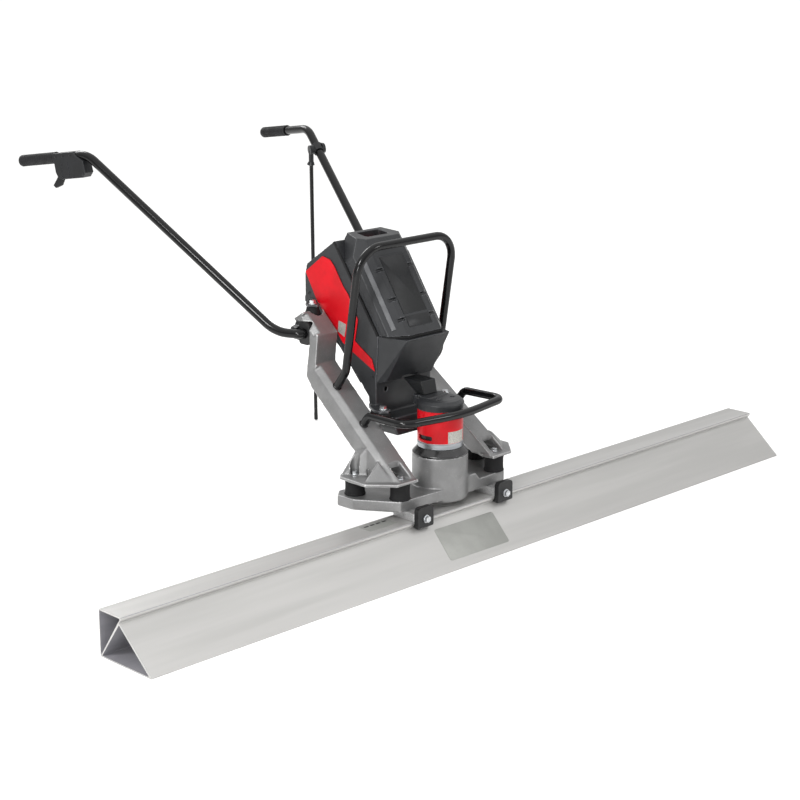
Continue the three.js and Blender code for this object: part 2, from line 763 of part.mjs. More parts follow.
function kickstandFrame() {
  const { place, direction } = onRightBar(KICKSTAND.clipZ);
  const foot = vec(...KICKSTAND.foot);
  const axis = foot.clone().sub(place).cross(direction).negate().normalize();
  const pivot = place.clone().addScaledVector(axis, KICKSTAND.offset);
  return { place, direction, axis, pivot, foot, down: foot.clone().sub(pivot).normalize() };
}

function addKickstand() {
  const { place, direction, axis, pivot, foot, down } = kickstandFrame();
  const at = (origin, a, b = 0, c = 0) =>
    origin.clone().addScaledVector(direction, a).addScaledVector(axis, b).addScaledVector(down, c);
  const ring = cylinderBetween(at(place, -13), at(place, 13), 17, 20);
  const knob = cylinderBetween(at(place, 0, -12), at(place, 0, -21), 17, 20, 15);
  const bore = cylinderBetween(at(place, -20), at(place, 20), TUBE.handleRadius + 0.4, 16);
  const trim = cylinderBetween(at(place, 0, KICKSTAND.offset - 8.1), at(place, 0, KICKSTAND.offset + 20), 30, 16);
  add("kickstand_clip", cut(join(ring, knob), bore, trim), MATERIAL.darkPlastic);
  const disc = cylinderBetween(at(pivot, 0, -7.8), at(pivot, 0, 6), 14, 20);
  const sleeve = cylinderBetween(at(pivot, 0, 0, 4), at(pivot, 0, 0, 46), 7.6, 16);
  const flare = cylinderBetween(at(pivot, 0, 0, 38), at(pivot, 0, 0, 47), 7.6, 16, 13);
  const seat = cylinderBetween(at(pivot, 0, 0, 20), at(pivot, 0, 0, 60), KICKSTAND.rodRadius + GAP, 12);
  const barSide = cylinderBetween(at(pivot, 0, -30), at(pivot, 0, -7.8), 80, 16);
  add("kickstand_socket", cut(join(disc, sleeve, flare), seat, barSide), MATERIAL.darkPlastic);
  add("kickstand_rod", cylinderBetween(at(pivot, 0, 0, 20.5), foot, KICKSTAND.rodRadius, 12), MATERIAL.black);
}

// ---------------------------------------------------------------- power head

const HEAD_SIDE = [
  [391, 796],
  [501, 720],
  [508, 690],
  [510, 614],
  [493, 603],
  [376, 520],
  [262, 392],
  [252, 330],
  [233, 330],
  [233, 433],
  [224, 562],
];

function headShell() {
  const { halfWidth, wall } = HEAD;
  const outline = clockwise(HEAD_SIDE);
  const skin = prism("x", outline, -halfWidth, halfWidth);
  const low = prism("y", [[-76, 294], [76, 294], [84, 312], [84, 345], [-84, 345], [-84, 312]], 178, 262);
  const room = [
    [390, 788], [497, 715], [504, 689], [506, 617], [490, 607], [373, 524],
    [258, 395], [248, 345], [238, 345], [238, 433], [229, 562],
  ];
  const hollow = prism("x", clockwise(room), -halfWidth + wall, halfWidth - wall);
  const window = prism("x", [[376, 500], [505, 592], [470, 640], [340, 545]], -halfWidth + 16, halfWidth - 16);
  return cut(join(skin, low), hollow, window);
}

function headEars() {
  const { halfWidth } = HEAD;
  const [mx, my] = MOUNT.lower;
  const [ux, uy] = MOUNT.upper;
  const lowerZ = MOUNT.lowerTop + GAP;
  const upperZ = MOUNT.upperTop + GAP;
  const ear = (side) => {
    const lowFront = [[98, 222], [100, 182], [mx, 172], [138, 184], [138, 206]];
    const lowPlan = [...lowFront, [118, 246], [103, 262], [80, 262], [80, 236]];
    const highPlan = [[102, 457], [110, 457], [122, 430], [ux, 417], [162, 437], [150, 458], [112, 488], [102, 488]];
    const plan = (points) => (side < 0 ? clockwise(points.map(([x, y]) => [-x, y])) : points);
    return [
      prism("z", plan(lowPlan), lowerZ, lowerZ + MOUNT.earThick),
      prism("z", plan(highPlan), upperZ, upperZ + MOUNT.earThick),
    ];
  };
  return [...ear(-1), ...ear(1)];
}

function mountHoles() {
  const [mx, my] = MOUNT.lower;
  const [ux, uy] = MOUNT.upper;
  return [-1, 1].flatMap((side) => [
    upright(side * mx, my, 340, 400, 5.6, 12),
    upright(side * ux, uy, 600, 660, 5.6, 12),
  ]);
}

const PANEL_SIDE = [
  [503, 699], [435, 750], [406, 744], [389, 728], [355, 678], [337, 660], [299, 595], [311, 536],
  [246, 497], [236, 466], [321, 506], [357, 524], [388, 558], [416, 573], [463, 632],
];

function addPowerHead() {
  const { halfWidth, wall, panel } = HEAD;
  const seatWall = prism("x", [[224, 562], [391, 796], [390, 788], [229, 562]], -halfWidth, halfWidth);
  const shell = join(headShell(), ...headEars(), seatWall);
  add("power_head_housing", cut(shell, ...mountHoles()), MATERIAL.plastic);
  addPair("side_panel", prism("x", clockwise(PANEL_SIDE), -halfWidth - GAP - panel, -halfWidth - GAP), MATERIAL.red);
  const cover = [[504, 601], [376 + 2, 509.5], [300, 423.5], [304, 420], [382, 505], [507, 595]];
  add("rear_cover", prism("x", cover, -halfWidth + 10, halfWidth - 10), MATERIAL.darkPlastic);
  const circuit = [[-80, 0], [80, 0], [80, 150], [-80, 150]];
  const card = prism("z", circuit, 0, 6).rotateX(BATTERY_TILT).translate(0, 292, 560);
  add("controller_board", card, MATERIAL.board);
  addGuard();
}

function addGuard() {
  const outer = [[81, 140, 561], [103, 221, 562], [86, 212, 438], [103, 232, 434]];
  const inner = [[76, 148, 555], [99, 260, 556], [82, 220, 444], [99, 260, 444]];
  const both = (points) => points.flatMap(([x, y, z]) => [[-x, y, z], [x, y, z]]);
  const shellPoints = both([...outer, [103, 223.2, 561.5]]);
  const ductRoom = block(-28.5, 28.5, 130, 260, 430, 446);
  add("battery_guard", cut(hull(shellPoints), hull(both(inner)), ductRoom), MATERIAL.plastic);
}

function addHeadMounts() {
  const [mx, my] = MOUNT.lower;
  const [ux, uy] = MOUNT.upper;
  const { rubberRadius, lowerBottom, lowerTop, upperTop, earThick } = MOUNT;
  const bush = (x, y, low, high, base, top) =>
    turned([[5.6, low], [base, low], [top, high], [5.6, high]], -x, y, 20);
  addPair("lower_mount", bush(mx, my, lowerBottom, lowerTop, rubberRadius, rubberRadius), MATERIAL.rubber);
  addPair("upper_mount", bush(ux, uy, LEG.padTop + GAP, upperTop, rubberRadius + 2, rubberRadius - 3), MATERIAL.rubber);
  const lowHead = vec(-mx, my, lowerTop + earThick + GAP + 2.3);
  addPair("ear_bolt", screw(lowHead, vec(0, 0, -1), 9, 5, 40), MATERIAL.zinc);
  const highHead = vec(-ux, uy, upperTop + earThick + GAP + 2.3);
  addPair("upper_bolt", screw(highHead, vec(0, 0, -1), 9, 5, 46), MATERIAL.zinc);
}

// ---------------------------------------------------------------- battery

const BATTERY_SIDE = [
  [152, 569],
  [223.5, 563.3],
  [390.5, 796.8],
  [384, 815],
  [312, 805],
];

function addBattery() {
  const { halfWidth } = HEAD;
  const tilt = (geometry) => geometry.rotateX(BATTERY_TILT).translate(0, 152, 569);
  const whole = prism("x", clockwise(BATTERY_SIDE), -halfWidth + 3, halfWidth - 3);
  const corner = (side) => {
    const points = [[61, 6], [61, 0], [102, -34], [112, -34], [112, 6]];
    return tilt(hull([-80, 400].flatMap((y) => points.map(([x, z]) => [side * x, y, z]))));
  };
  const shoulder = (side) => {
    const points = [[103, 252], [64, 330], [64, 420], [125, 420], [125, 252]];
    return tilt(hull([-120, 20].flatMap((z) => points.map(([x, y]) => [side * x, y, z]))));
  };
  const recess = prism("z", roundedBox(-42, 42, 330, 372, 8, 2), 770, 830);
  add("battery_case", cut(whole, corner(-1), corner(1), shoulder(-1), shoulder(1), recess), MATERIAL.plastic);
  const latch = prism("z", roundedBox(-32, 32, 356, 371.5, 3, 2), 777, 795);
  add("battery_latch", latch, MATERIAL.red);
}

// ---------------------------------------------------------------- assembly

addBoard();
addBase();
addClamps();
addExciter();
addMotor();
addIsolators();
addLegs();
addGuardTubes();
addHandlebars();
addSwitch();
addKickstand();
addPowerHead();
addHeadMounts();
addBattery();

export default object;
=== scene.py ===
"""Looks for a battery vibrating concrete screed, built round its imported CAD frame.

Sizes are in millimetres in the classes below and in metres in the meshes. +X runs along the board,
+Y points to the operator and +Z is up.
"""

import json
import logging
import math
from dataclasses import dataclass, replace
from enum import Enum
from typing import Any, Callable, Iterable, Sequence

import bmesh
import bpy
from mathutils import Matrix, Quaternion, Vector
from mathutils.geometry import intersect_point_line

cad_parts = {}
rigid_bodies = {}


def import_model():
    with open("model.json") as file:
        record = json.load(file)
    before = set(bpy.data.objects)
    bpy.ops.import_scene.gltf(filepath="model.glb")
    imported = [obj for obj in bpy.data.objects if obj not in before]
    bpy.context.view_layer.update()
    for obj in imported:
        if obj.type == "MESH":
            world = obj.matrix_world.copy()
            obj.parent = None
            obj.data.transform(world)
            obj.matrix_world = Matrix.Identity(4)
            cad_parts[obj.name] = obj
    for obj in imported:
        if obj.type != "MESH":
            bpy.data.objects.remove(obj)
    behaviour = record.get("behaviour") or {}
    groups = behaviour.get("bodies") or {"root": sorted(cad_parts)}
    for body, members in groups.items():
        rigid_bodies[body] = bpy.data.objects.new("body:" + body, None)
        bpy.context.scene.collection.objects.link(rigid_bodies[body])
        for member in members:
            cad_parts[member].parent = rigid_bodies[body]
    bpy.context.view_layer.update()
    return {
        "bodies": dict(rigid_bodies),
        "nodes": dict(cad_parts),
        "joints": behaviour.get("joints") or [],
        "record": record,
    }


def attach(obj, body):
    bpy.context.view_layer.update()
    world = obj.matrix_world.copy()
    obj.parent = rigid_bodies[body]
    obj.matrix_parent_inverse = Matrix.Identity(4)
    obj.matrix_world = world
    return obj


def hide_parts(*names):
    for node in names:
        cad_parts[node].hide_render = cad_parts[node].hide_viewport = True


LOG = logging.getLogger("screed")
MM = 0.001
Point = Sequence[float]
Place = tuple[Vector, Vector]
FRAME: dict[str, Any] = {}


# ---------------------------------------------------------------- shader helpers


def srgb(code: str) -> tuple[float, float, float, float]:
    """Turns an sRGB hex colour into linear RGBA.

    Args:
        code: Six hex digits with a leading hash.

    Returns:
        Linear red, green, blue and an alpha of 1.
    """
    parts = [int(code[i : i + 2], 16) / 255 for i in (1, 3, 5)]
    linear = [c / 12.92 if c <= 0.04045 else ((c + 0.055) / 1.055) ** 2.4 for c in parts]
    return (linear[0], linear[1], linear[2], 1.0)


def add_node(
    tree: bpy.types.NodeTree, kind: str, inputs: dict[Any, Any] | None = None, **settings: Any
) -> bpy.types.Node:
    """Adds one node, sets it up and links it.

    Args:
        tree: The node tree to add to.
        kind: The node's type name.
        inputs: Socket name or index to a value, or to the output socket that feeds it.
        **settings: Properties of the node itself.

    Returns:
        The new node.
    """
    made = tree.nodes.new(kind)
    for key, value in settings.items():
        setattr(made, key, value)
    for key, value in (inputs or {}).items():
        socket = made.inputs[key]
        if isinstance(value, bpy.types.NodeSocket):
            tree.links.new(value, socket)
        else:
            socket.default_value = value
    return made


# ---------------------------------------------------------------- finishes


class Slot(Enum):
    """The record's material slots."""

    ALUMINIUM = "aluminium"
    CASTING = "casting"
    BLACK_TUBE = "black_tube"
    PLASTIC = "plastic"
    DARK_PLASTIC = "dark_plastic"
    RED_PLASTIC = "red_plastic"
    RUBBER = "rubber"
    ZINC = "zinc"
    STEEL = "steel"
    WINDING = "winding"
    CIRCUIT = "circuit"


@dataclass(frozen=True)
class Finish:
    """A surface: what it is made of, how it was made and what that gives the eye.

    The colour drifts slowly between two tones, a fine grain stands up as bump and roughness, and
    edges show a paler tone: partly wear, where paint thins, plastic polishes or dirt wears off, and
    partly a painted highlight of light catching the edges. Moulded and cast grain is really 0.1 to
    0.5 mm; that is too fine to show on a machine 2.4 m long, so it is drawn at 1 to 2 mm.
    """

    name: str
    tone: str
    second_tone: str
    # edge_tone is the paler colour along edges, partly wear and partly painted highlight; specks use it too.
    edge_tone: str
    roughness: float
    roughness_swing: float
    metallic: float = 0.0
    drift_mm: float = 60.0
    grain_mm: float = 1.5
    grain_height_mm: float = 0.1
    edge_mm: float = 1.2
    edge_share: float = 0.5
    stretch: tuple[float, float, float] = (1.0, 1.0, 1.0)
    coat: float = 0.0
    pits_mm: float = 0.0
    specks: float = 0.0
    shine: float = 0.5
    rounded: bool = False

    def material(self) -> bpy.types.Material:
        """Returns the material, building it the first time."""
        found = bpy.data.materials.get(self.name)
        return found or self._build()

    def _build(self) -> bpy.types.Material:
        """Builds the node tree.

        Returns:
            The new material.
        """
        made = bpy.data.materials.new(self.name)
        made.use_nodes = True
        tree = made.node_tree
        shader = tree.nodes["Principled BSDF"]
        place = add_node(tree, "ShaderNodeTexCoord").outputs["Object"]
        along = add_node(tree, "ShaderNodeMapping", {"Vector": place, "Scale": self.stretch}).outputs["Vector"]
        drift, grain = (
            add_node(
                tree,
                "ShaderNodeTexNoise",
                {"Vector": along, "Scale": 1 / (size * MM), "Detail": detail, "Roughness": rough},
            ).outputs["Fac"]
            for size, detail, rough in ((self.drift_mm, 3.0, 0.55), (self.grain_mm, 4.0, 0.6))
        )
        tone: Any = srgb(self.tone)
        for share, colour in self._layers(tree, drift, grain):
            inputs = {0: share, 6: tone, 7: srgb(colour)}
            tone = add_node(tree, "ShaderNodeMix", inputs, data_type="RGBA").outputs[2]
        tree.links.new(tone, shader.inputs["Base Color"])
        low, high = self.roughness - self.roughness_swing, self.roughness + self.roughness_swing
        limits = {"Value": drift, "From Min": 0.3, "From Max": 0.7, "To Min": low, "To Max": high}
        swing = add_node(tree, "ShaderNodeMapRange", limits)
        tree.links.new(swing.outputs["Result"], shader.inputs["Roughness"])
        shader.inputs["Metallic"].default_value = self.metallic
        shader.inputs["Specular IOR Level"].default_value = self.shine
        if self.coat:
            shader.inputs["Coat Weight"].default_value = self.coat
            shader.inputs["Coat Roughness"].default_value = 0.08
        tree.links.new(self._relief(tree, place, grain), shader.inputs["Normal"])
        return made

    def _layers(self, tree: bpy.types.NodeTree, drift: Any, grain: Any) -> list[tuple[Any, str]]:
        """Finds what lies over the base tone: clouds, specks, and edges that are partly worn and partly painted
        highlight.

        Args:
            tree: The material's node tree.
            drift: The slow pattern's socket.
            grain: The fine pattern's socket.

        Returns:
            A share's socket and a colour for each layer, from the lowest up.
        """
        limits = {"Value": drift, "From Min": 0.35, "From Max": 0.65}
        clouds = add_node(tree, "ShaderNodeMapRange", limits, interpolation_type="SMOOTHSTEP")
        layers = [(clouds.outputs["Result"], self.second_tone)]
        if self.specks:
            limits = {"Value": grain, "From Min": 0.62, "From Max": 0.70, "To Max": self.specks}
            dots = add_node(tree, "ShaderNodeMapRange", limits, interpolation_type="SMOOTHSTEP")
            layers.append((dots.outputs["Result"], self.edge_tone))
        if self.edge_share:
            layers.append((self._edges(tree, grain), self.edge_tone))
        return layers

    def _edges(self, tree: bpy.types.NodeTree, grain: Any) -> Any:
        """Finds the edges, from the mesh where it is rounded and from a bevel where it is crisp.

        Args:
            tree: The material's node tree.
            grain: The fine pattern's socket, which breaks the edges up.

        Returns:
            The socket of a mask that rises along edges to the share given for them, where the paler edge tone
            goes: partly wear, partly painted highlight.
        """
        # The paler tone laid along edges is partly wear and partly painted highlight.
        limits = {"Value": grain, "From Min": 0.25, "From Max": 0.6, "To Max": self.edge_share}
        broken = add_node(tree, "ShaderNodeMapRange", limits, interpolation_type="SMOOTHSTEP")
        shape = add_node(tree, "ShaderNodeNewGeometry")
        if self.rounded:
            limits = {"Value": shape.outputs["Pointiness"], "From Min": 0.515, "From Max": 0.575}
            mask = add_node(tree, "ShaderNodeMapRange", limits, interpolation_type="SMOOTHSTEP")
        else:
            soft = add_node(tree, "ShaderNodeBevel", {"Radius": self.edge_mm * MM}, samples=4)
            pair = {0: soft.outputs[0], 1: shape.outputs["Normal"]}
            same = add_node(tree, "ShaderNodeVectorMath", pair, operation="DOT_PRODUCT")
            limits = {"Value": same.outputs["Value"], "From Min": 0.995, "From Max": 0.86}
            mask = add_node(tree, "ShaderNodeMapRange", limits)
        pair = {0: mask.outputs["Result"], 1: broken.outputs["Result"]}
        return add_node(tree, "ShaderNodeMath", pair, operation="MULTIPLY").outputs[0]

    def _relief(self, tree: bpy.types.NodeTree, place: Any, grain: Any) -> Any:
        """Raises the grain and, where there are any, sinks the casting pits.

        Args:
            tree: The material's node tree.
            place: The object coordinates' socket.
            grain: The fine pattern's socket.

        Returns:
            The normal's socket.
        """
        inputs = {"Height": grain, "Distance": self.grain_height_mm * MM, "Strength": 0.8}
        bump = add_node(tree, "ShaderNodeBump", inputs).outputs["Normal"]
        if self.pits_mm:
            cells = add_node(tree, "ShaderNodeTexVoronoi", {"Vector": place, "Scale": 1 / (self.pits_mm * MM)})
            limits = {"Value": cells.outputs["Distance"], "From Min": 0.05, "From Max": 0.35}
            pits = add_node(tree, "ShaderNodeMapRange", limits, interpolation_type="SMOOTHSTEP")
            inputs = {"Height": pits.outputs["Result"], "Distance": 0.15 * MM, "Strength": 0.5, "Normal": bump}
            bump = add_node(tree, "ShaderNodeBump", inputs).outputs["Normal"]
        return bump


# Sand-cast aluminium under silver-grey paint: a sandy skin, with bright lines along edges, partly where paint
# thins and partly painted highlight.
CAST_PAINT = Finish(
    "painted_sand_casting", "#7c7c7c", "#727272", "#dedede", 0.4, 0.06, 0.5,
    drift_mm=70, grain_mm=2.2, grain_height_mm=0.28, edge_mm=2.2, edge_share=0.85,
    pits_mm=3.0, specks=0.25, rounded=True,
)
# Extruded 6063 aluminium, mill finish: long faint die lines along the board and cloudy oxide tones.
MILL_ALUMINIUM = Finish(
    "mill_finish_extrusion", "#b3b2b0", "#a9a8a6", "#e2e2e1", 0.42, 0.04, 0.6,
    drift_mm=70, grain_mm=2.0, grain_height_mm=0.05, edge_mm=1.0, edge_share=0.6, stretch=(0.06, 1.0, 1.0),
)
# Turned aluminium ring: fine rings from the lathe, brighter than the extrusion.
TURNED_ALUMINIUM = Finish(
    "turned_aluminium", "#989ca0", "#888c90", "#dcdee0", 0.32, 0.05, 0.9,
    drift_mm=30, grain_mm=1.2, grain_height_mm=0.04, stretch=(0.2, 0.2, 3.0),
)
# Black enamel on steel tube: wet-looking, with slight orange peel.
TUBE_ENAMEL = Finish(
    "black_tube_enamel", "#060607", "#09090a", "#202021", 0.17, 0.03,
    drift_mm=35, grain_mm=5.0, grain_height_mm=0.006, edge_share=0.3, coat=0.0, shine=0.3,
)
# Black powder coat on cast parts: satin with a fine pebble.
BLACK_POWDER = Finish(
    "black_powder_coat", "#111112", "#171718", "#58585a", 0.4, 0.06, shine=0.35,
    drift_mm=25, grain_mm=1.4, grain_height_mm=0.12, edge_mm=1.2, edge_share=0.5,
)
# Black powder coat over a machined cone, gloss enough to catch a bright line.
BLACK_POWDER_GLOSS = Finish(
    "gloss_black_powder_coat", "#171718", "#1c1c1d", "#58585a", 0.26, 0.04,
    drift_mm=40, grain_mm=1.6, grain_height_mm=0.02, edge_mm=1.0, edge_share=0.3, coat=0.3,
)
# Glass-filled nylon housing: spark-eroded grain, slightly grey, and paler along its edges: partly polish,
# partly painted highlight.
GREY_NYLON = Finish(
    "grained_grey_nylon", "#28292b", "#232426", "#85868a", 0.36, 0.06, shine=0.34,
    drift_mm=80, grain_mm=1.3, grain_height_mm=0.12, edge_mm=1.6, edge_share=0.6, rounded=True,
)
# The same nylon on the crisper mouldings that bolt onto the housing.
COVER_NYLON = replace(GREY_NYLON, name="grained_cover_nylon", rounded=False)
# The nylon of the battery's rails, paler than the case.
GREY_NYLON_PALE = Finish(
    "rubbed_grey_nylon", "#5a5b5d", "#4d4e50", "#8a8b8d", 0.42, 0.06,
    drift_mm=30, grain_mm=1.3, grain_height_mm=0.08, edge_mm=1.2, edge_share=0.6,
)
# Darker nylon of the guard, caps and switch box, with the same grain.
DARK_NYLON = Finish(
    "grained_dark_nylon", "#18191b", "#141516", "#54555a", 0.4, 0.06, shine=0.3,
    drift_mm=60, grain_mm=1.3, grain_height_mm=0.1, edge_mm=1.4, edge_share=0.5,
)
# Red nylon mouldings: satin, drifting slowly between two close reds.
RED_NYLON = Finish(
    "moulded_red_nylon", "#bf0415", "#ad0411", "#dc2f3a", 0.36, 0.05, shine=0.22,
    drift_mm=60, grain_mm=1.2, grain_height_mm=0.06, edge_mm=1.2, edge_share=0.5,
)
# Moulded natural rubber of the mounts: dull, with a dusty bloom.
MOUNT_RUBBER = Finish(
    "mount_rubber", "#131314", "#19191a", "#343435", 0.75, 0.08, shine=0.25,
    drift_mm=18, grain_mm=0.9, grain_height_mm=0.12, edge_mm=1.0, edge_share=0.4,
)
# Soft grip elastomer: dark and dull, paler along its edges: partly wear where the hands rub, partly painted
# highlight.
GRIP_RUBBER = Finish(
    "grip_elastomer", "#171719", "#121213", "#3a3a3d", 0.6, 0.1, shine=0.3,
    drift_mm=25, grain_mm=0.8, grain_height_mm=0.15, edge_mm=1.0, edge_share=0.4,
)
# Zinc-plated screws: bright, with cloudy passivation.
ZINC_PLATE = Finish(
    "zinc_plated_steel", "#cfd1d3", "#aeb1b4", "#f0f1f2", 0.28, 0.07, 0.95,
    drift_mm=6, grain_mm=0.8, grain_height_mm=0.03, edge_mm=0.6,
)
# Inside of the extrusion: never brushed, dull with oxide. The same finish also lies on a thin strip along the
# underside of the board's lip, where it is painted shade.
DULL_ALUMINIUM = Finish(
    "oxidised_extrusion_bore", "#8f8e93", "#848388", "#a5a4a9", 0.7, 0.06, 0.3,
    drift_mm=60, grain_mm=2.0, grain_height_mm=0.05, edge_share=0.2, stretch=(0.06, 1.0, 1.0),
)
# Stacked motor laminations under dark varnish, which is what shows through the slots.
VARNISHED_IRON = Finish(
    "varnished_laminations", "#161214", "#1f191a", "#3a3032", 0.4, 0.08, 0.4,
    drift_mm=8, grain_mm=0.9, grain_height_mm=0.2, stretch=(1.0, 1.0, 6.0),
)
# Ground steel of shafts and bearings.
GROUND_STEEL = Finish(
    "ground_steel", "#9a9da1", "#85888c", "#c9ccd0", 0.3, 0.06, 0.95,
    drift_mm=15, grain_mm=0.8, grain_height_mm=0.03, stretch=(1.0, 1.0, 3.0),
)
# Solder mask on a glass-fibre board: green, glossy, with faint tracks.
SOLDER_MASK = Finish(
    "green_solder_mask", "#1d5a34", "#174a2b", "#3c8a5a", 0.35, 0.05,
    drift_mm=5, grain_mm=1.5, grain_height_mm=0.05,
)
# Foil rating plate: matt silver print on polyester.
FOIL_PLATE = Finish(
    "silver_foil_plate", "#b3b1aa", "#96958f", "#cfcec8", 0.42, 0.08, 0.5,
    drift_mm=3.5, grain_mm=1.2, grain_height_mm=0.02, specks=0.3,
)
# Grey film sticker on the board: thin, smooth and a little darker than the metal.
GREY_FILM = Finish(
    "grey_film_sticker", "#8f908c", "#898a86", "#a9aaa6", 0.42, 0.015, 0.3,
    drift_mm=60, grain_mm=1.5, grain_height_mm=0.02,
)
# Pale studio paper on the floor.
STUDIO_PAPER = Finish(
    "studio_paper", "#fbfbfa", "#fafaf9", "#fbfbfa", 0.85, 0.02,
    drift_mm=900, grain_mm=8, grain_height_mm=0.02, edge_share=0.0,
)


# ---------------------------------------------------------------- mesh helpers


def vec(x: float, y: float, z: float) -> Vector:
    """Returns a point given in millimetres, in metres."""
    return Vector((x, y, z)) * MM


def mirror(points: Iterable[Vector]) -> list[Vector]:
    """Returns the points mirrored to the machine's other side."""
    return [Vector((-p.x, p.y, p.z)) for p in points]


def object_from(name: str, bm: bmesh.types.BMesh, smooth_degrees: float = 32.0) -> bpy.types.Object:
    """Makes an object of a bmesh, with its faces out and its soft edges smooth.

    Args:
        name: The object's name.
        bm: The mesh, which is freed.
        smooth_degrees: Edges bent by less than this are shaded smooth.

    Returns:
        The new object, at the origin.
    """
    bmesh.ops.remove_doubles(bm, verts=bm.verts, dist=1e-6)
    bmesh.ops.recalc_face_normals(bm, faces=bm.faces)
    mesh = bpy.data.meshes.new(name)
    bm.to_mesh(mesh)
    bm.free()
    mesh.shade_smooth()
    mesh.set_sharp_from_angle(angle=math.radians(smooth_degrees))
    made = bpy.data.objects.new(name, mesh)
    bpy.context.scene.collection.objects.link(made)
    return made


def dress(obj: bpy.types.Object, finish: Finish, body: str, slot: Slot, *nodes: str) -> bpy.types.Object:
    """Gives a piece its finish and its body, and hides the CAD nodes that it stands for.

    Args:
        obj: The piece.
        finish: Its surface.
        body: The CAD body that it moves with.
        slot: Not used.
        *nodes: The CAD nodes that it stands for.

    Returns:
        The same piece.
    """
    obj.data.materials.clear()
    obj.data.materials.append(finish.material())
    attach(obj, body)
    if nodes:
        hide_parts(*nodes)
    LOG.info("%s: %d faces on %s", obj.name, len(obj.data.polygons), body)
    return obj


def add_loft(bm: bmesh.types.BMesh, rings: Sequence[Sequence[Vector]]) -> None:
    """Skins rings of equal length into a closed body.

    Args:
        bm: The mesh to add to.
        rings: The rings in order, each a loop of points in metres.
    """
    made = [[bm.verts.new(p) for p in ring] for ring in rings]
    for low, high in zip(made, made[1:]):
        for i in range(len(low)):
            j = (i + 1) % len(low)
            bm.faces.new((low[i], low[j], high[j], high[i]))
    bm.faces.new(list(reversed(made[0])))
    bm.faces.new(made[-1])


def ring_round(centre: Vector, across: Vector, up: Vector, radius: float, sides: int) -> list[Vector]:
    """Returns a circle of points about a centre, in the plane of two unit vectors."""
    turns = [2 * math.pi * i / sides for i in range(sides)]
    return [centre + (across * math.cos(a) + up * math.sin(a)) * radius for a in turns]


def circle(x: float, y: float, radius: float, sides: int = 24) -> list[tuple[float, float]]:
    """Returns a flat circle's points."""
    turns = [2 * math.pi * i / sides for i in range(sides)]
    return [(x + radius * math.cos(a), y + radius * math.sin(a)) for a in turns]


def frame_on(direction: Vector) -> tuple[Vector, Vector]:
    """Finds two unit vectors square to a direction and to each other.

    Args:
        direction: A unit vector.

    Returns:
        The two vectors.
    """
    side = Vector((0, 0, 1)) if abs(direction.z) < 0.9 else Vector((1, 0, 0))
    across = direction.cross(side).normalized()
    return across, direction.cross(across).normalized()


def add_turned(
    bm: bmesh.types.BMesh,
    base: Vector,
    direction: Vector,
    profile: Sequence[tuple[float, float]],
    sides: int = 64,
) -> None:
    """Adds a turned body.

    Args:
        bm: The mesh to add to.
        base: Where the axis starts, in metres.
        direction: The axis's unit vector.
        profile: Radius and height pairs in millimetres, from bottom to top.
        sides: How many flats go round.
    """
    across, up = frame_on(direction)
    add_loft(
        bm,
        [ring_round(base + direction * h * MM, across, up, max(r, 0.01) * MM, sides) for r, h in profile],
    )


def rounded_path(corners: Sequence[Vector], radii: Sequence[float], step_degrees: float = 4.0) -> list[Vector]:
    """Returns a line through corners with each inner corner rounded.

    Args:
        corners: The corner points, in metres.
        radii: A bend radius in millimetres for each inner corner.
        step_degrees: How far each step of a bend turns.

    Returns:
        The points along the line.
    """
    line = [corners[0]]
    for before, corner, after, radius in zip(corners, corners[1:], corners[2:], radii):
        back, ahead = (before - corner).normalized(), (after - corner).normalized()
        half = back.angle(ahead) / 2
        centre = corner + (back + ahead).normalized() * (radius * MM / math.sin(half))
        start = corner + back * (radius * MM / math.tan(half))
        turn = math.pi - 2 * half
        steps = max(3, math.ceil(math.degrees(turn) / step_degrees))
        axis = ahead.cross(back).normalized()
        line += [centre + Quaternion(axis, turn * i / steps) @ (start - centre) for i in range(steps + 1)]
    return line + [corners[-1]]


def add_tube(
    bm: bmesh.types.BMesh, line: Sequence[Vector], radius: float, rim: float = 0.8, sides: int = 40
) -> None:
    """Adds a round tube along a line, with its rims broken.

    Args:
        bm: The mesh to add to.
        line: The points along its middle, in metres.
        radius: Its radius in millimetres.
        rim: How far each rim is broken.
        sides: How many flats go round.
    """
    steps = [(b - a).normalized() for a, b in zip(line, line[1:])]
    tangents = [steps[0], *((a + b).normalized() for a, b in zip(steps, steps[1:])), steps[-1]]
    across, up = frame_on(tangents[0])
    frames = [(across, up)]
    for old, new in zip(tangents, tangents[1:]):
        turn = old.rotation_difference(new)
        across, up = turn @ across, turn @ up
        frames.append((across, up))
    stops = list(zip(line, frames, [radius] * len(line)))
    foot, head = stops[0], stops[-1]
    stops[0] = (foot[0] + tangents[0] * rim * MM, foot[1], radius)
    stops[-1] = (head[0] - tangents[-1] * rim * MM, head[1], radius)
    stops = [(foot[0], foot[1], radius - rim), *stops, (head[0], head[1], radius - rim)]
    add_loft(bm, [ring_round(place, a, u, r * MM, sides) for place, (a, u), r in stops])


def rounded_outline(
    points: Sequence[Point], radii: float | Sequence[float], steps: int = 4
) -> list[tuple[float, float]]:
    """Returns a flat outline with its corners rounded.

    Args:
        points: Corners in order round the outline.
        radii: One radius for all corners, or one for each.
        steps: How many flats make each corner.

    Returns:
        The rounded outline's points.
    """
    count = len(points)
    sizes = [radii] * count if isinstance(radii, (int, float)) else list(radii)
    made: list[tuple[float, float]] = []
    for i, size in enumerate(sizes):
        corner = Vector(points[i]).to_2d()
        back = Vector(points[i - 1]).to_2d() - corner
        ahead = Vector(points[(i + 1) % count]).to_2d() - corner
        half = back.angle(ahead) / 2
        reach = min(size / math.tan(half), back.length * 0.49, ahead.length * 0.49) if size else 0.0
        if reach < 1e-6:
            made.append((corner.x, corner.y))
            continue
        start, end = corner + back.normalized() * reach, corner + ahead.normalized() * reach
        for k in range(steps + 1):
            t = k / steps
            point = start * (1 - t) ** 2 + corner * 2 * t * (1 - t) + end * t**2
            made.append((point.x, point.y))
    return made


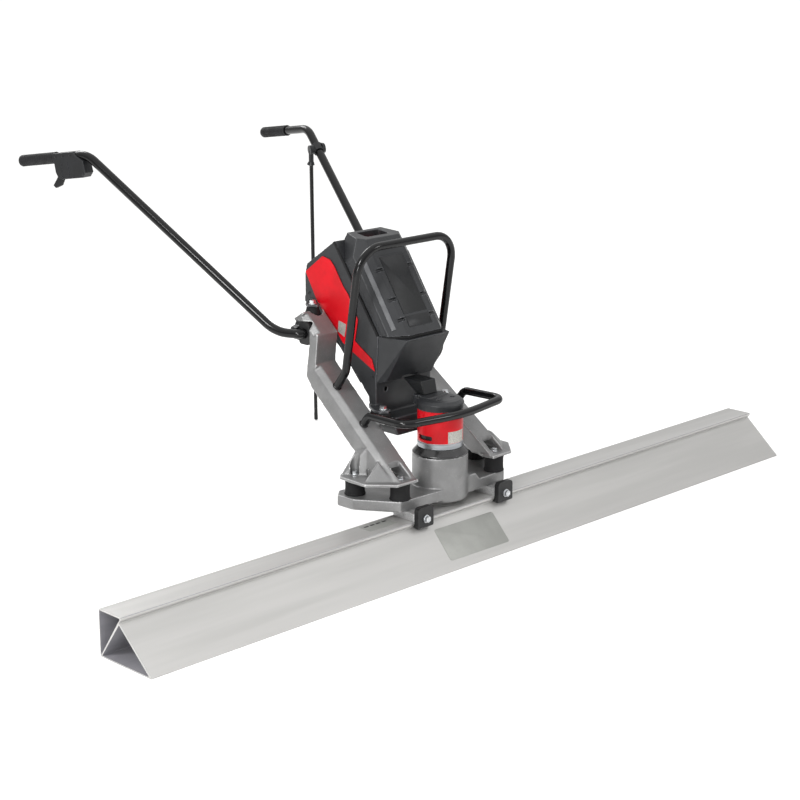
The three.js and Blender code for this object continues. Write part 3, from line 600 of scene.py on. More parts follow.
def prism_along(
    name: str,
    axis: str,
    outline: Sequence[Point],
    start: float,
    end: float,
    holes: Sequence[Sequence[Point]] = (),
) -> bpy.types.Object:
    """Makes a prism of an outline, with holes that run right through it.

    Args:
        name: The object's name.
        axis: The axis it runs along, x, y or z.
        outline: Points in the other two coordinates, in millimetres.
        start: Where it starts along the axis.
        end: Where it ends.
        holes: Outlines of the holes.

    Returns:
        The new object.
    """
    places: dict[str, Callable[[float, float, float], Vector]] = {
        "x": lambda a, b, c: vec(c, a, b),
        "y": lambda a, b, c: vec(a, c, b),
        "z": lambda a, b, c: vec(a, b, c),
    }
    bm = bmesh.new()
    rims: dict[float, list[bmesh.types.BMEdge]] = {start: [], end: []}
    for loop in [outline, *holes]:
        low, high = ([bm.verts.new(places[axis](a, b, c)) for a, b in loop] for c in (start, end))
        for i in range(len(low)):
            j = (i + 1) % len(low)
            bm.faces.new((low[i], low[j], high[j], high[i]))
            rims[start].append(bm.edges.get((low[i], low[j])))
            rims[end].append(bm.edges.get((high[i], high[j])))
    for edges in rims.values():
        bmesh.ops.triangle_fill(bm, edges=edges, use_beauty=True)
    bmesh.ops.dissolve_limit(bm, angle_limit=math.radians(0.5), verts=bm.verts, edges=bm.edges)
    return object_from(name, bm)


def baked(obj: bpy.types.Object) -> bpy.types.Object:
    """Applies an object's modifiers to its mesh.

    Args:
        obj: The object, which loses its modifiers.

    Returns:
        The same object.
    """
    graph = bpy.context.evaluated_depsgraph_get()
    mesh = bpy.data.meshes.new_from_object(obj.evaluated_get(graph))
    obj.modifiers.clear()
    old = obj.data
    obj.data = mesh
    bpy.data.meshes.remove(old)
    return obj


def carve(obj: bpy.types.Object, *cutters: bpy.types.Object, operation: str = "DIFFERENCE") -> bpy.types.Object:
    """Cuts objects out of another, or joins them to it.

    Args:
        obj: The object that is cut.
        *cutters: What it is cut with, which is removed.
        operation: The Boolean modifier's operation.

    Returns:
        The same object.
    """
    for cutter in cutters:
        step = obj.modifiers.new("carve", "BOOLEAN")
        step.operation = operation
        step.solver = "EXACT"
        step.object = cutter
    bpy.context.view_layer.update()
    baked(obj)
    for cutter in cutters:
        bpy.data.objects.remove(cutter)
    return obj


def soften(obj: bpy.types.Object, width_mm: float, segments: int = 2, angle: float = 28.0) -> bpy.types.Object:
    """Rounds an object's sharp edges, then shades it so that flats stay flat.

    Args:
        obj: The object.
        width_mm: How wide each rounding is.
        segments: How many flats make it.
        angle: Edges bent by more than this, in degrees, are rounded.

    Returns:
        The same object.
    """
    bm = bmesh.new()
    bm.from_mesh(obj.data)
    bmesh.ops.remove_doubles(bm, verts=bm.verts, dist=2e-5)
    bmesh.ops.dissolve_limit(bm, angle_limit=math.radians(0.8), verts=bm.verts, edges=bm.edges)
    bmesh.ops.dissolve_degenerate(bm, dist=1e-5, edges=bm.edges)
    bm.to_mesh(obj.data)
    bm.free()
    bevel = obj.modifiers.new("bevel", "BEVEL")
    bevel.width = width_mm * MM
    bevel.segments = segments
    bevel.limit_method = "ANGLE"
    bevel.angle_limit = math.radians(angle)
    bevel.miter_outer = "MITER_ARC"
    bevel.use_clamp_overlap = True
    bevel.harden_normals = False
    bpy.context.view_layer.update()
    baked(obj)
    obj.data.shade_smooth()
    obj.data.set_sharp_from_angle(angle=math.radians(40))
    weigh = obj.modifiers.new("weigh", "WEIGHTED_NORMAL")
    weigh.keep_sharp = True
    bpy.context.view_layer.update()
    return baked(obj)


def copy_of(node: str, name: str) -> bpy.types.Object:
    """Copies a CAD node's shape.

    Args:
        node: The node's name.
        name: The copy's name.

    Returns:
        A new object with a merged mesh.
    """
    bm = bmesh.new()
    bm.from_mesh(FRAME["nodes"][node].data)
    bmesh.ops.remove_doubles(bm, verts=bm.verts, dist=1e-5)
    bmesh.ops.dissolve_limit(bm, angle_limit=math.radians(0.8), verts=bm.verts, edges=bm.edges)
    return object_from(name, bm)


def softened(node: str, name: str, width_mm: float, segments: int = 2) -> bpy.types.Object:
    """Returns a copy of a CAD node with its edges rounded."""
    return soften(copy_of(node, name), width_mm, segments)


def dress_node(node: str, finish: Finish) -> None:
    """Gives a finish to a CAD node that keeps its shape.

    Args:
        node: The node's name.
        finish: Its surface.
    """
    materials = FRAME["nodes"][node].data.materials
    materials.clear()
    materials.append(finish.material())
    LOG.info("%s: carried over", node)


# ---------------------------------------------------------------- repeated parts, by geometry nodes


@dataclass(frozen=True)
class Repeat:
    """One shape set at many places, by a Geometry Nodes tree with a size for each of its inputs."""

    name: str
    finish: Finish

    def socket(self, tree: bpy.types.GeometryNodeTree, label: str, kind: str, output: bool = False) -> str:
        """Adds a socket to the tree and returns its identifier."""
        way = "OUTPUT" if output else "INPUT"
        return tree.interface.new_socket(label, in_out=way, socket_type=kind).identifier

    def run(
        self, places: Sequence[Place], build: Callable[[Any, Any], Any], sizes: dict[str, float]
    ) -> bpy.types.Object:
        """Sets the shape at each place.

        Args:
            places: A point and an outward direction for each copy, in metres.
            build: Takes the tree and its input node, and returns the shape's geometry socket.
            sizes: The tree's named inputs, in metres.

        Returns:
            A plain mesh object with every copy in it.
        """
        tree = bpy.data.node_groups.new(self.name, "GeometryNodeTree")
        self.socket(tree, "Places", "NodeSocketGeometry")
        keys = {label: self.socket(tree, label, "NodeSocketFloat") for label in sizes}
        self.socket(tree, "Copies", "NodeSocketGeometry", output=True)
        given = add_node(tree, "NodeGroupInput")
        shape = build(tree, given)
        named = {"Name": "outward"}
        outward = add_node(tree, "GeometryNodeInputNamedAttribute", named, data_type="FLOAT_VECTOR")
        aim = add_node(tree, "FunctionNodeAlignRotationToVector", {"Vector": outward.outputs[0]}, axis="Z")
        copies = add_node(
            tree,
            "GeometryNodeInstanceOnPoints",
            {"Points": given.outputs["Places"], "Instance": shape, "Rotation": aim.outputs[0]},
        )
        real = add_node(tree, "GeometryNodeRealizeInstances", {0: copies.outputs[0]})
        dressed = add_node(
            tree, "GeometryNodeSetMaterial", {"Geometry": real.outputs[0], "Material": self.finish.material()}
        )
        add_node(tree, "NodeGroupOutput", {0: dressed.outputs[0]})
        mesh = bpy.data.meshes.new(self.name)
        mesh.from_pydata([tuple(p) for p, _ in places], [], [])
        way = mesh.attributes.new("outward", "FLOAT_VECTOR", "POINT")
        for i, (_, direction) in enumerate(places):
            way.data[i].vector = direction
        obj = bpy.data.objects.new(self.name, mesh)
        bpy.context.scene.collection.objects.link(obj)
        step = obj.modifiers.new("repeat", "NODES")
        step.node_group = tree
        for label, identifier in keys.items():
            step[identifier] = sizes[label]
        bpy.context.view_layer.update()
        baked(obj)
        obj.data.shade_smooth()
        obj.data.set_sharp_from_angle(angle=math.radians(32))
        return obj


def hex_bolt_shape(tree: Any, given: Any) -> Any:
    """Builds a flanged hexagon head: washer, flange, hexagon and a shallow crown, one on the other.

    Args:
        tree: The Geometry Nodes tree.
        given: Its input node, with a radius and a height for each of the four.

    Returns:
        The head's geometry socket.
    """
    base: Any = 0.0
    joined = add_node(tree, "GeometryNodeJoinGeometry")
    parts = (("Washer", 32, 1.0), ("Flange", 32, 0.9), ("Hexagon", 6, 1.0), ("Crown", 24, 0.75))
    for label, sides, taper in parts:
        radius, tall = given.outputs[f"{label} Radius"], given.outputs[f"{label} Height"]
        top = add_node(tree, "ShaderNodeMath", {0: radius, 1: taper}, operation="MULTIPLY").outputs[0]
        inputs = {"Vertices": sides, "Radius Top": top, "Radius Bottom": radius, "Depth": tall}
        cone = add_node(tree, "GeometryNodeMeshCone", inputs)
        lift = add_node(tree, "ShaderNodeCombineXYZ", {"Z": base})
        inputs = {"Geometry": cone.outputs[0], "Translation": lift.outputs[0]}
        moved = add_node(tree, "GeometryNodeTransform", inputs)
        tree.links.new(moved.outputs[0], joined.inputs[0])
        base = add_node(tree, "ShaderNodeMath", {0: base, 1: tall}, operation="ADD").outputs[0]
    return joined.outputs[0]


@dataclass(frozen=True)
class BoltSize:
    """A flanged hexagon screw's head, in millimetres."""

    hexagon: float
    head: float
    washer: float

    def inputs(self) -> dict[str, float]:
        """Sizes the four parts of the head.

        Returns:
            The bolt tree's inputs, in metres.
        """
        sizes = {
            "Washer Radius": self.washer,
            "Washer Height": 1.6,
            "Flange Radius": self.hexagon * 1.12,
            "Flange Height": 1.2,
            "Hexagon Radius": self.hexagon,
            "Hexagon Height": self.head - 1.4,
            "Crown Radius": self.hexagon * 0.84,
            "Crown Height": 0.7,
        }
        return {label: value * MM for label, value in sizes.items()}


def bolts(name: str, places: Sequence[Place], size: BoltSize) -> bpy.types.Object:
    """Returns bolt heads standing at each place, along each outward direction."""
    return Repeat(name, ZINC_PLATE).run(places, hex_bolt_shape, size.inputs())


def block_shape(tree: Any, given: Any) -> Any:
    """Builds a small block about its place, long across the outward direction.

    Args:
        tree: The Geometry Nodes tree.
        given: Its input node, with Length, Width and Height.

    Returns:
        The block's geometry socket.
    """
    inputs = {axis: given.outputs[label] for axis, label in (("X", "Length"), ("Y", "Width"), ("Z", "Height"))}
    size = add_node(tree, "ShaderNodeCombineXYZ", inputs)
    return add_node(tree, "GeometryNodeMeshCube", {"Size": size.outputs[0]}).outputs["Mesh"]


def ring_shape(tree: Any, given: Any) -> Any:
    """Builds a round ring about its place's outward direction.

    Args:
        tree: The Geometry Nodes tree.
        given: Its input node, with Ring Radius and Bead Radius.

    Returns:
        The ring's geometry socket.
    """
    kind = "GeometryNodeCurvePrimitiveCircle"
    path, bead = (
        add_node(tree, kind, {"Resolution": flats, "Radius": given.outputs[label]})
        for flats, label in ((48, "Ring Radius"), (8, "Bead Radius"))
    )
    return add_node(tree, "GeometryNodeCurveToMesh", {0: path.outputs[0], 1: bead.outputs[0]}).outputs[0]


def screw_shape(tree: Any, given: Any) -> Any:
    """Builds a low button head with a hexagon socket.

    Args:
        tree: The Geometry Nodes tree.
        given: Its input node, with Top Radius, Head Radius, Head Height and Socket Radius.

    Returns:
        The head's geometry socket.
    """
    tall = given.outputs["Head Height"]
    top, bottom = given.outputs["Top Radius"], given.outputs["Head Radius"]
    inputs = {"Vertices": 24, "Radius Top": top, "Radius Bottom": bottom, "Depth": tall}
    head = add_node(tree, "GeometryNodeMeshCone", inputs)
    inputs = {"Vertices": 6, "Radius": given.outputs["Socket Radius"], "Depth": tall}
    socket = add_node(tree, "GeometryNodeMeshCylinder", inputs)
    lift = add_node(tree, "ShaderNodeCombineXYZ", {"Z": tall})
    raised = add_node(tree, "GeometryNodeTransform", {0: socket.outputs[0], "Translation": lift.outputs[0]})
    cut = add_node(tree, "GeometryNodeMeshBoolean", {0: head.outputs[0]}, operation="DIFFERENCE")
    tree.links.new(raised.outputs[0], cut.inputs[1])
    return cut.outputs[0]


def cast_copy(name: str, start: bpy.types.Object, voxel_mm: float, passes: int = 5) -> bpy.types.Object:
    """Gives a moulded or cast body its rounded edges and fillets by remeshing and smoothing it.

    Args:
        name: The new name.
        start: The sharp-edged object.
        voxel_mm: The remeshing step, which also sets how round the edges come out.
        passes: How many times the mesh is relaxed.

    Returns:
        The same object, remeshed.
    """
    start.name = name
    step = start.modifiers.new("remesh", "REMESH")
    step.mode = "VOXEL"
    step.voxel_size = voxel_mm * MM
    relax = start.modifiers.new("relax", "SMOOTH")
    relax.factor = 0.5
    relax.iterations = passes
    thin = start.modifiers.new("thin", "DECIMATE")
    thin.decimate_type = "COLLAPSE"
    thin.ratio = 0.5
    bpy.context.view_layer.update()
    baked(start)
    start.data.shade_smooth()
    start.data.set_sharp_from_angle(angle=math.radians(50))
    return start


# ---------------------------------------------------------------- sub-assemblies


class Side(Enum):
    """The machine's two sides, as seen by the operator's hands."""

    LEFT = -1
    RIGHT = 1

    @property
    def tag(self) -> str:
        """Returns the side's name in lower case."""
        return self.name.lower()

    def put(self, x: float, y: float, z: float) -> Vector:
        """Returns a point drawn for the left side, on this side."""
        return vec(x if self is Side.LEFT else -x, y, z)


@dataclass
class Board:
    """The hollow extruded board that strikes the concrete."""

    length: float = 2438.0
    middle: float = 94.0
    sole_half: float = 96.0
    height: float = 117.0
    notch: tuple[float, float] = (19.5, 102.0)

    def section(self) -> list[tuple[float, float]]:
        """Draws the outer section.

        Returns:
            Its points, with the lip's bead and the small recess along its top.
        """
        half, top = self.sole_half, self.height
        corners = [(-half, 0), (half, 0), (half, top), (87, top), (86, top - 0.6), (84, top - 0.6), (83, top)]
        corners += [(13, top), (13, 110), (14.6, 107.4), (18, 105.5), self.notch]
        return rounded_outline(corners, [1.6, 2.2, 2.2, 0.3, 0.3, 0.3, 0.3, 3.2, 2.5, 1.2, 1.2, 1.2])

    def cells(self) -> list[list[tuple[float, float]]]:
        """Draws the two hollow cells, either side of the slanting web.

        Returns:
            The two cells' points.
        """
        upper = [(91.5, 4.9), (92.9, 7.5), (92.9, 113.9), (16.2, 113.9), (17.5, 108.5), (24.3, 100.5)]
        lower = [(-86.5, 3.1), (88.9, 3.1), (19.7, 97.6)]
        return [rounded_outline(upper, 1.8), rounded_outline(lower, 1.8)]

    def on_face(self, x: float, rise: float, proud: float) -> Vector:
        """Finds a point on the sloping face.

        Args:
            x: Where it is along the board.
            rise: How far it is up the slope from the front edge.
            proud: How far it stands out of the face.

        Returns:
            The point, in metres.
        """
        along, out = Vector((0.7496, 0.6619)), Vector((-0.6619, 0.7496))
        y, z = Vector((-self.sole_half, 0)) + along * rise + out * proud
        return vec(x, y, z)

    def lies_on(self, spot: Vector, start: Vector, end: Vector) -> bool:
        """Tells whether a point of the section lies along a stretch of wall.

        Args:
            spot: The point.
            start: The stretch's start.
            end: Its end.

        Returns:
            True where it is close to the stretch's line and no further along it than its length.
        """
        # Nearness is taken to the wall's whole line, not just its stretch, so a thin strip of outer faces along
        # the underside of the lip is marked too; there the dull finish is painted shade.
        reach = min((spot - start).length, (spot - end).length)
        near = intersect_point_line(spot, start, end)[0]
        return reach <= (end - start).length and (spot - near).length < 0.3

    def dull_inside(self, board: bpy.types.Object) -> None:
        """Gives the walls of the two cells the dull finish of the extrusion's inside, and a thin strip along
        the underside of the lip the same darker finish as painted shade.

        Args:
            board: The extruded board.
        """
        board.data.materials.append(DULL_ALUMINIUM.material())
        walls = [(Vector(cell[i - 1]), Vector(cell[i])) for cell in self.cells() for i in range(len(cell))]
        for face in board.data.polygons:
            spot = Vector((face.center.y, face.center.z)) / MM
            inside = abs(face.normal.x) < 0.5 and any(self.lies_on(spot, *wall) for wall in walls)
            face.material_index = int(inside)

    def add_plate(self, bm: bmesh.types.BMesh, outline: Sequence[Point], place: Callable[..., Vector]) -> None:
        """Adds a thin plate that lies on a face of the board.

        Args:
            bm: The mesh to add to.
            outline: The plate's corners on the face.
            place: Takes two coordinates on the face and a height over it, and returns the point.
        """
        rings = [[place(a, b, h) for a, b in outline] for h in (-0.3, 0.28, 0.42)]
        middle = sum((Vector(p) for p in rings[2]), Vector()) / len(rings[2])
        rings[2] = [p + (middle - p) * 0.003 for p in rings[2]]
        add_loft(bm, rings)

    def build(self) -> None:
        """Builds and dresses the board and its stickers."""
        start, end = self.middle - self.length / 2, self.middle + self.length / 2
        board = prism_along("extruded_board", "x", self.section(), start, end, self.cells())
        dress(board, MILL_ALUMINIUM, "frame", Slot.ALUMINIUM, "screed_board")
        self.dull_inside(board)
        self.build_stickers()

    def build_stickers(self) -> None:
        """Builds the blank film on the sloping face and the one on top, with four plain marks."""
        bm = bmesh.new()
        corners = [(-134, 30), (92, 28), (101, 126), (-123, 128)]
        self.add_plate(bm, rounded_outline(corners, 8), self.on_face)
        dress(object_from("face_sticker", bm), GREY_FILM, "frame", Slot.ALUMINIUM)
        bm = bmesh.new()
        corners = [(-314, 40), (-216, 40), (-216, 84), (-314, 84)]
        self.add_plate(bm, rounded_outline(corners, 4), lambda a, b, h: vec(a, b, self.height + h))
        dress(object_from("top_sticker", bm), GREY_FILM, "frame", Slot.ALUMINIUM)
        bm = bmesh.new()
        for left in (-304, -283, -262, -241):
            corners = [(left, 70), (left + 15, 70), (left + 15, 76), (left, 76)]
            self.add_plate(bm, rounded_outline(corners, 1), lambda a, b, h: vec(a, b, self.height + 0.3 + h))
        dress(object_from("top_sticker_marks", bm), DARK_NYLON, "frame", Slot.DARK_PLASTIC)


@dataclass
class Base:
    """The cast base, which carries the exciter and is clamped to the board."""

    axis_y: float = 96.0
    can_radius: float = 75.0
    can_bottom: float = 130.0
    can_top: float = 252.0
    bore_floor: float = 160.0
    bore_radius: float = 66.0
    screw: tuple[float, float, float] = (-154.0, -3.4, 124.0)
    voxel: float = 2.4

    def build(self) -> None:
        """Builds and dresses the base, its feet and jaws."""
        base = copy_of("base_casting", "cast_base")
        bore, floor = self.bore_radius, self.bore_floor + 1
        r, low, high = self.can_radius, self.can_bottom, self.can_top
        ring = [(bore, floor), (bore, high - 0.1), (r - 0.8, high - 0.1), (r, high - 2.5), (r, low + 7)]
        ring += [(r - 1, low + 3), (r - 4, low), (40, low), (40, floor)]
        bm = bmesh.new()
        add_turned_ring(bm, vec(0, self.axis_y, 0), ring, 128)
        carve(base, object_from("can", bm), operation="UNION")
        cast_copy("cast_base", base, self.voxel)
        dress(base, CAST_PAINT, "frame", Slot.CASTING, "base_casting")
        for side in Side:
            self.build_clamp(side)

    def build_clamp(self, side: Side) -> None:
        """Builds one of the two clamps that hold the board.

        Args:
            side: Which side it is on.
        """
        foot = softened(f"clamp_foot_{side.tag}", f"board_foot_{side.tag}", 1.6, 3)
        dress(foot, CAST_PAINT, "frame", Slot.CASTING, f"clamp_foot_{side.tag}")
        jaw = softened(f"clamp_jaw_{side.tag}", f"board_jaw_{side.tag}", 1.6, 3)
        dress(jaw, BLACK_POWDER, f"clamp_{side.tag}", Slot.BLACK_TUBE, f"clamp_jaw_{side.tag}")
        place = (side.put(*self.screw), Vector((0, -1, 0)))
        screw = bolts(f"jaw_screw_{side.tag}", [place], BoltSize(8.6, 7.4, 10.6))
        dress(screw, ZINC_PLATE, f"clamp_{side.tag}", Slot.ZINC)
        dress_node(f"clamp_bolt_{side.tag}", ZINC_PLATE)


def add_turned_ring(
    bm: bmesh.types.BMesh, base: Vector, profile: Sequence[tuple[float, float]], sides: int
) -> None:
    """Adds a ring turned about a vertical axis.

    Args:
        bm: The mesh to add to.
        base: The axis's foot, in metres.
        profile: Radius and height pairs in millimetres, round the ring's closed section.
        sides: How many flats go round.
    """
    rings = []
    for i in range(sides):
        a = 2 * math.pi * i / sides
        out = Vector((math.cos(a), math.sin(a), 0))
        rings.append([base + out * r * MM + Vector((0, 0, h * MM)) for r, h in profile])
    made = [[bm.verts.new(p) for p in ring] for ring in rings]
    for i in range(sides):
        here, after = made[i], made[(i + 1) % sides]
        for j in range(len(profile)):
            k = (j + 1) % len(profile)
            bm.faces.new((here[j], after[j], after[k], here[k]))


@dataclass
class Exciter:
    """The upright motor and the eccentric it drives."""

    axis_y: float = 96.0
    motor_radius: float = 61.0
    ring_bottom: float = 273.0
    ring_top: float = 289.0
    motor_top: float = 376.0
    cap_top: float = 403.0
    cap_screws: tuple[tuple[float, float], ...] = ((-38, 140), (25, 77), (38, 140), (-25, 77))

    @property
    def axis(self) -> Vector:
        """Returns the foot of the motor's axis."""
        return vec(0, self.axis_y, 0)

    def turned(self, name: str, profile: Sequence[tuple[float, float]], sides: int = 128) -> bpy.types.Object:
        """Turns a ring about the motor's axis.

        Args:
            name: The ring's name.
            profile: Radius and height pairs round its closed section.
            sides: How many flats go round.

        Returns:
            The new object.
        """
        bm = bmesh.new()
        add_turned_ring(bm, self.axis, profile, sides)
        return object_from(name, bm)

    def build_collar(self) -> None:
        """Builds the black cone and the turned ring above it."""
        r, low, high = self.motor_radius, self.ring_bottom, self.ring_top
        cone = [(26.3, 252.3), (74.6, 252.3), (75, 253), (75, 256.4), (74.4, 257.4), (66, 266.5)]
        cone += [(62.4, 271.6), (61.6, low - 0.3), (16, low - 0.3), (16, low - 5), (26.3, low - 5)]
        dress(self.turned("exciter_cone", cone), BLACK_POWDER_GLOSS, "frame", Slot.BLACK_TUBE, "exciter_collar")
        ring = [(16, low), (r - 0.6, low), (r, low + 0.7), (r, high - 3.6), (r - 0.4, high - 3)]
        ring += [(r - 1.2, high - 2.4), (r - 1.2, high - 0.3), (46, high - 0.3), (46, low + 8), (16, low + 8)]
        dress(self.turned("turned_ring", ring), TURNED_ALUMINIUM, "frame", Slot.ALUMINIUM, "motor_ring")

    def side_cutter(self, outline: Sequence[Point], start: float, turn: float) -> bpy.types.Object:
        """Makes a cutter that runs out from the motor's axis.

        Args:
            outline: Its section.
            start: How far from the axis it starts.
            turn: Which way it points, in degrees round the axis.

        Returns:
            The cutter.
        """
        cutter = prism_along("cutter", "y", outline, start, 80)
        cutter.data.transform(Matrix.Translation(self.axis) @ Matrix.Rotation(math.radians(turn), 4, "Z"))
        return cutter

    def build_shell(self) -> None:
        """Builds the red shell with its slots, its parting lines and its plate."""
        r, low, high = self.motor_radius, self.ring_top, self.motor_top
        outer = [(57, low), (r - 0.4, low), (r, low + 0.6), (r, high - 7.6), (r - 0.7, high - 6.8)]
        outer += [(r - 0.7, high - 5.2), (r, high - 4.4), (r, high - 1), (r - 0.6, high - 0.3)]
        shell = self.turned("motor_shell", [*outer, (57, high - 0.3)])
        slot = rounded_outline([(-24, 296), (24, 296), (24, 309), (-24, 309)], 4)
        seam = [(-0.7, 290.5), (0.7, 290.5), (0.7, 374.5), (-0.7, 374.5)]
        cutters = [self.side_cutter(slot, 40, turn) for turn in (90, -90)]
        carve(shell, *cutters, *(self.side_cutter(seam, r - 1.1, turn) for turn in (-150, -30, 90)))
        finish_edges(shell)
        dress(shell, RED_NYLON, "frame", Slot.RED_PLASTIC, "motor_housing")
        bm = bmesh.new()
        angles = [math.radians(-116 + 54 * i / 24) for i in range(25)]
        rows = [(r + 0.05, 290), (r + 0.45, 290), (r + 0.45, 321.5), (r + 0.05, 321.5)]
        add_loft(bm, [[self.axis + vec(d * math.cos(a), d * math.sin(a), z) for d, z in rows] for a in angles])
        dress(object_from("foil_plate", bm), FOIL_PLATE, "frame", Slot.ALUMINIUM)

    def build_cap(self) -> None:
        """Builds the faceted cap with its screw pockets, and the cable duct behind it."""
        cap = copy_of("motor_cap", "motor_cap_moulding")
        low, floor = self.motor_top, self.cap_top - 4.5
        skirt = [(56, low), (63.3, low), (64, low + 0.8), (64, low + 16), (62.6, low + 18.5), (56, low + 22)]
        carve(cap, self.turned("skirt", skirt), operation="UNION")
        carve(cap, *(prism_along("pocket", "z", circle(*spot, 6.5), floor, 412) for spot in self.cap_screws))
        cast_copy("motor_cap_moulding", cap, 1.1, 3)
        dress(cap, GREY_NYLON, "frame", Slot.DARK_PLASTIC, "motor_cap")
        places = [(vec(x, y, floor - 0.1), Vector((0, 0, 1))) for x, y in self.cap_screws]
        dress(small_screws("cap_screws", places, 4.6), BLACK_POWDER, "frame", Slot.BLACK_TUBE)
        duct = softened("cable_duct", "duct_moulding", 2.4, 3)
        dress(duct, DARK_NYLON, "frame", Slot.PLASTIC, "cable_duct")

    def build(self) -> None:
        """Builds the whole exciter."""
        self.build_collar()
        self.build_shell()
        self.build_cap()
        for node in ("exciter_shaft", "eccentric_weight", "bearing_lower", "bearing_upper", "rotor"):
            dress_node(node, GROUND_STEEL)
        dress_node("stator", VARNISHED_IRON)


def finish_edges(obj: bpy.types.Object, angle: float = 32.0) -> None:
    """Shades a carved object so that flats stay flat and rounds stay round."""
    obj.data.shade_smooth()
    obj.data.set_sharp_from_angle(angle=math.radians(angle))


def small_screws(name: str, places: Sequence[Place], radius: float) -> bpy.types.Object:
    """Sets button-head screws with hexagon sockets.

    Args:
        name: The piece's name.
        places: A point and an outward direction for each screw, in metres.
        radius: The head's radius in millimetres.

    Returns:
        One object with every screw in it.
    """
    shares = {"Head Radius": 1.0, "Top Radius": 0.82, "Head Height": 0.5, "Socket Radius": 0.48}
    sizes = {label: radius * share * MM for label, share in shares.items()}
    return Repeat(name, BLACK_POWDER).run(places, screw_shape, sizes)


@dataclass
class Legs:
    """The two cast legs on their rubber mounts."""

    mounts: tuple[tuple[str, float, float], ...] = (("front", 181.0, 66.0), ("rear", 232.0, 182.0))
    rubber_bottom: float = 168.3
    rubber_top: float = 212.7
    rubber_radius: float = 28.0
    voxel: float = 2.2

    def build_mount(self, name: str, x: float, y: float, side: Side) -> None:
        """Builds one bonded rubber mount.

        Args:
            name: Front or rear.
            x: How far it is from the machine's middle.
            y: Where it is from front to back.
            side: Which side it is on.
        """
        r, low, high = self.rubber_radius, self.rubber_bottom, self.rubber_top
        profile = [(r - 0.8, low), (r, low + 0.8), (r, low + 3), (r - 1.2, low + 4), (r - 2.0, low + 10)]
        profile += [(r - 2.2, 190), (r - 2.0, high - 10), (r - 1.2, high - 4), (r, high - 3), (r, high - 0.8)]
        bm = bmesh.new()
        add_turned(bm, side.put(-x, y, 0), Vector((0, 0, 1)), [*profile, (r - 0.8, high)], 64)
        node = f"isolator_{name}_{side.tag}"
        dress(object_from(f"rubber_mount_{name}_{side.tag}", bm), MOUNT_RUBBER, "frame", Slot.RUBBER, node)

    def build(self) -> None:
        """Builds legs, mounts and their screws."""
        places = []
        for side in Side:
            for name, x, y in self.mounts:
                self.build_mount(name, x, y, side)
                places.append((side.put(-x, y, 221.2), Vector((0, 0, 1))))
            leg = cast_copy(f"cast_leg_{side.tag}", copy_of(f"leg_{side.tag}", "leg"), self.voxel, 4)
            dress(leg, CAST_PAINT, "frame", Slot.CASTING, f"leg_{side.tag}")
        names = [f"foot_bolt_{name}_{side.tag}" for name, _, _ in self.mounts for side in Side]
        dress(bolts("foot_screws", places, BoltSize(8.4, 7.6, 11)), ZINC_PLATE, "frame", Slot.ZINC, *names)


@dataclass
class Guards:
    """The two bent guard tubes, welded to small saddles on the legs."""

    radius: float = 11.0
    along: tuple[float, float] = (0.7923, 0.6101)
    foot: tuple[float, float] = (37.0, 216.0)

    def rise(self, x: float, distance: float, out: float) -> Vector:
        """Returns a point above the leg's front face: so far along it, and so far out of it."""
        (ay, az), (fy, fz) = self.along, self.foot
        return vec(x, fy + ay * distance - az * out, fz + az * distance + ay * out)

    def build_bar(
        self, name: str, node: str, half: list[Vector], middle: list[Vector], radii: list[float]
    ) -> None:
        """Builds one bar and the weld beads at its ends.

        Args:
            name: The bar's name.
            node: The CAD node that it stands for.
            half: Its corners on the left.
            middle: Its corners on the machine's middle.
            radii: A bend radius for each corner but the ends.
        """
        bm = bmesh.new()
        add_tube(bm, rounded_path(half + middle + mirror(reversed(half)), radii), self.radius)
        bead = [(11.2, 0.0), (12.6, 0.7), (12.9, 2.0), (12.2, 3.6), (11.2, 4.6)]
        for end, inner in (half[:2], mirror(half[:2])):
            add_turned(bm, end, (inner - end).normalized(), bead, 40)
        dress(object_from(name, bm), TUBE_ENAMEL, "frame", Slot.BLACK_TUBE, node)

    def build(self) -> None:
        """Builds the roll bar and the bumper."""
        left = [self.rise(-177, 341, 0.5), self.rise(-177, 341, 58), vec(-177, 217, 805)]
        self.build_bar("roll_bar_tube", "roll_bar", left, [], [55, 74, 74, 55])
        left = [self.rise(-182, 207, 0.5), self.rise(-182, 207, 36), vec(-188, 43, 373)]
        self.build_bar("bumper_tube", "bumper_bar", left, [vec(0, 11, 372)], [26, 34, 420, 34, 26])


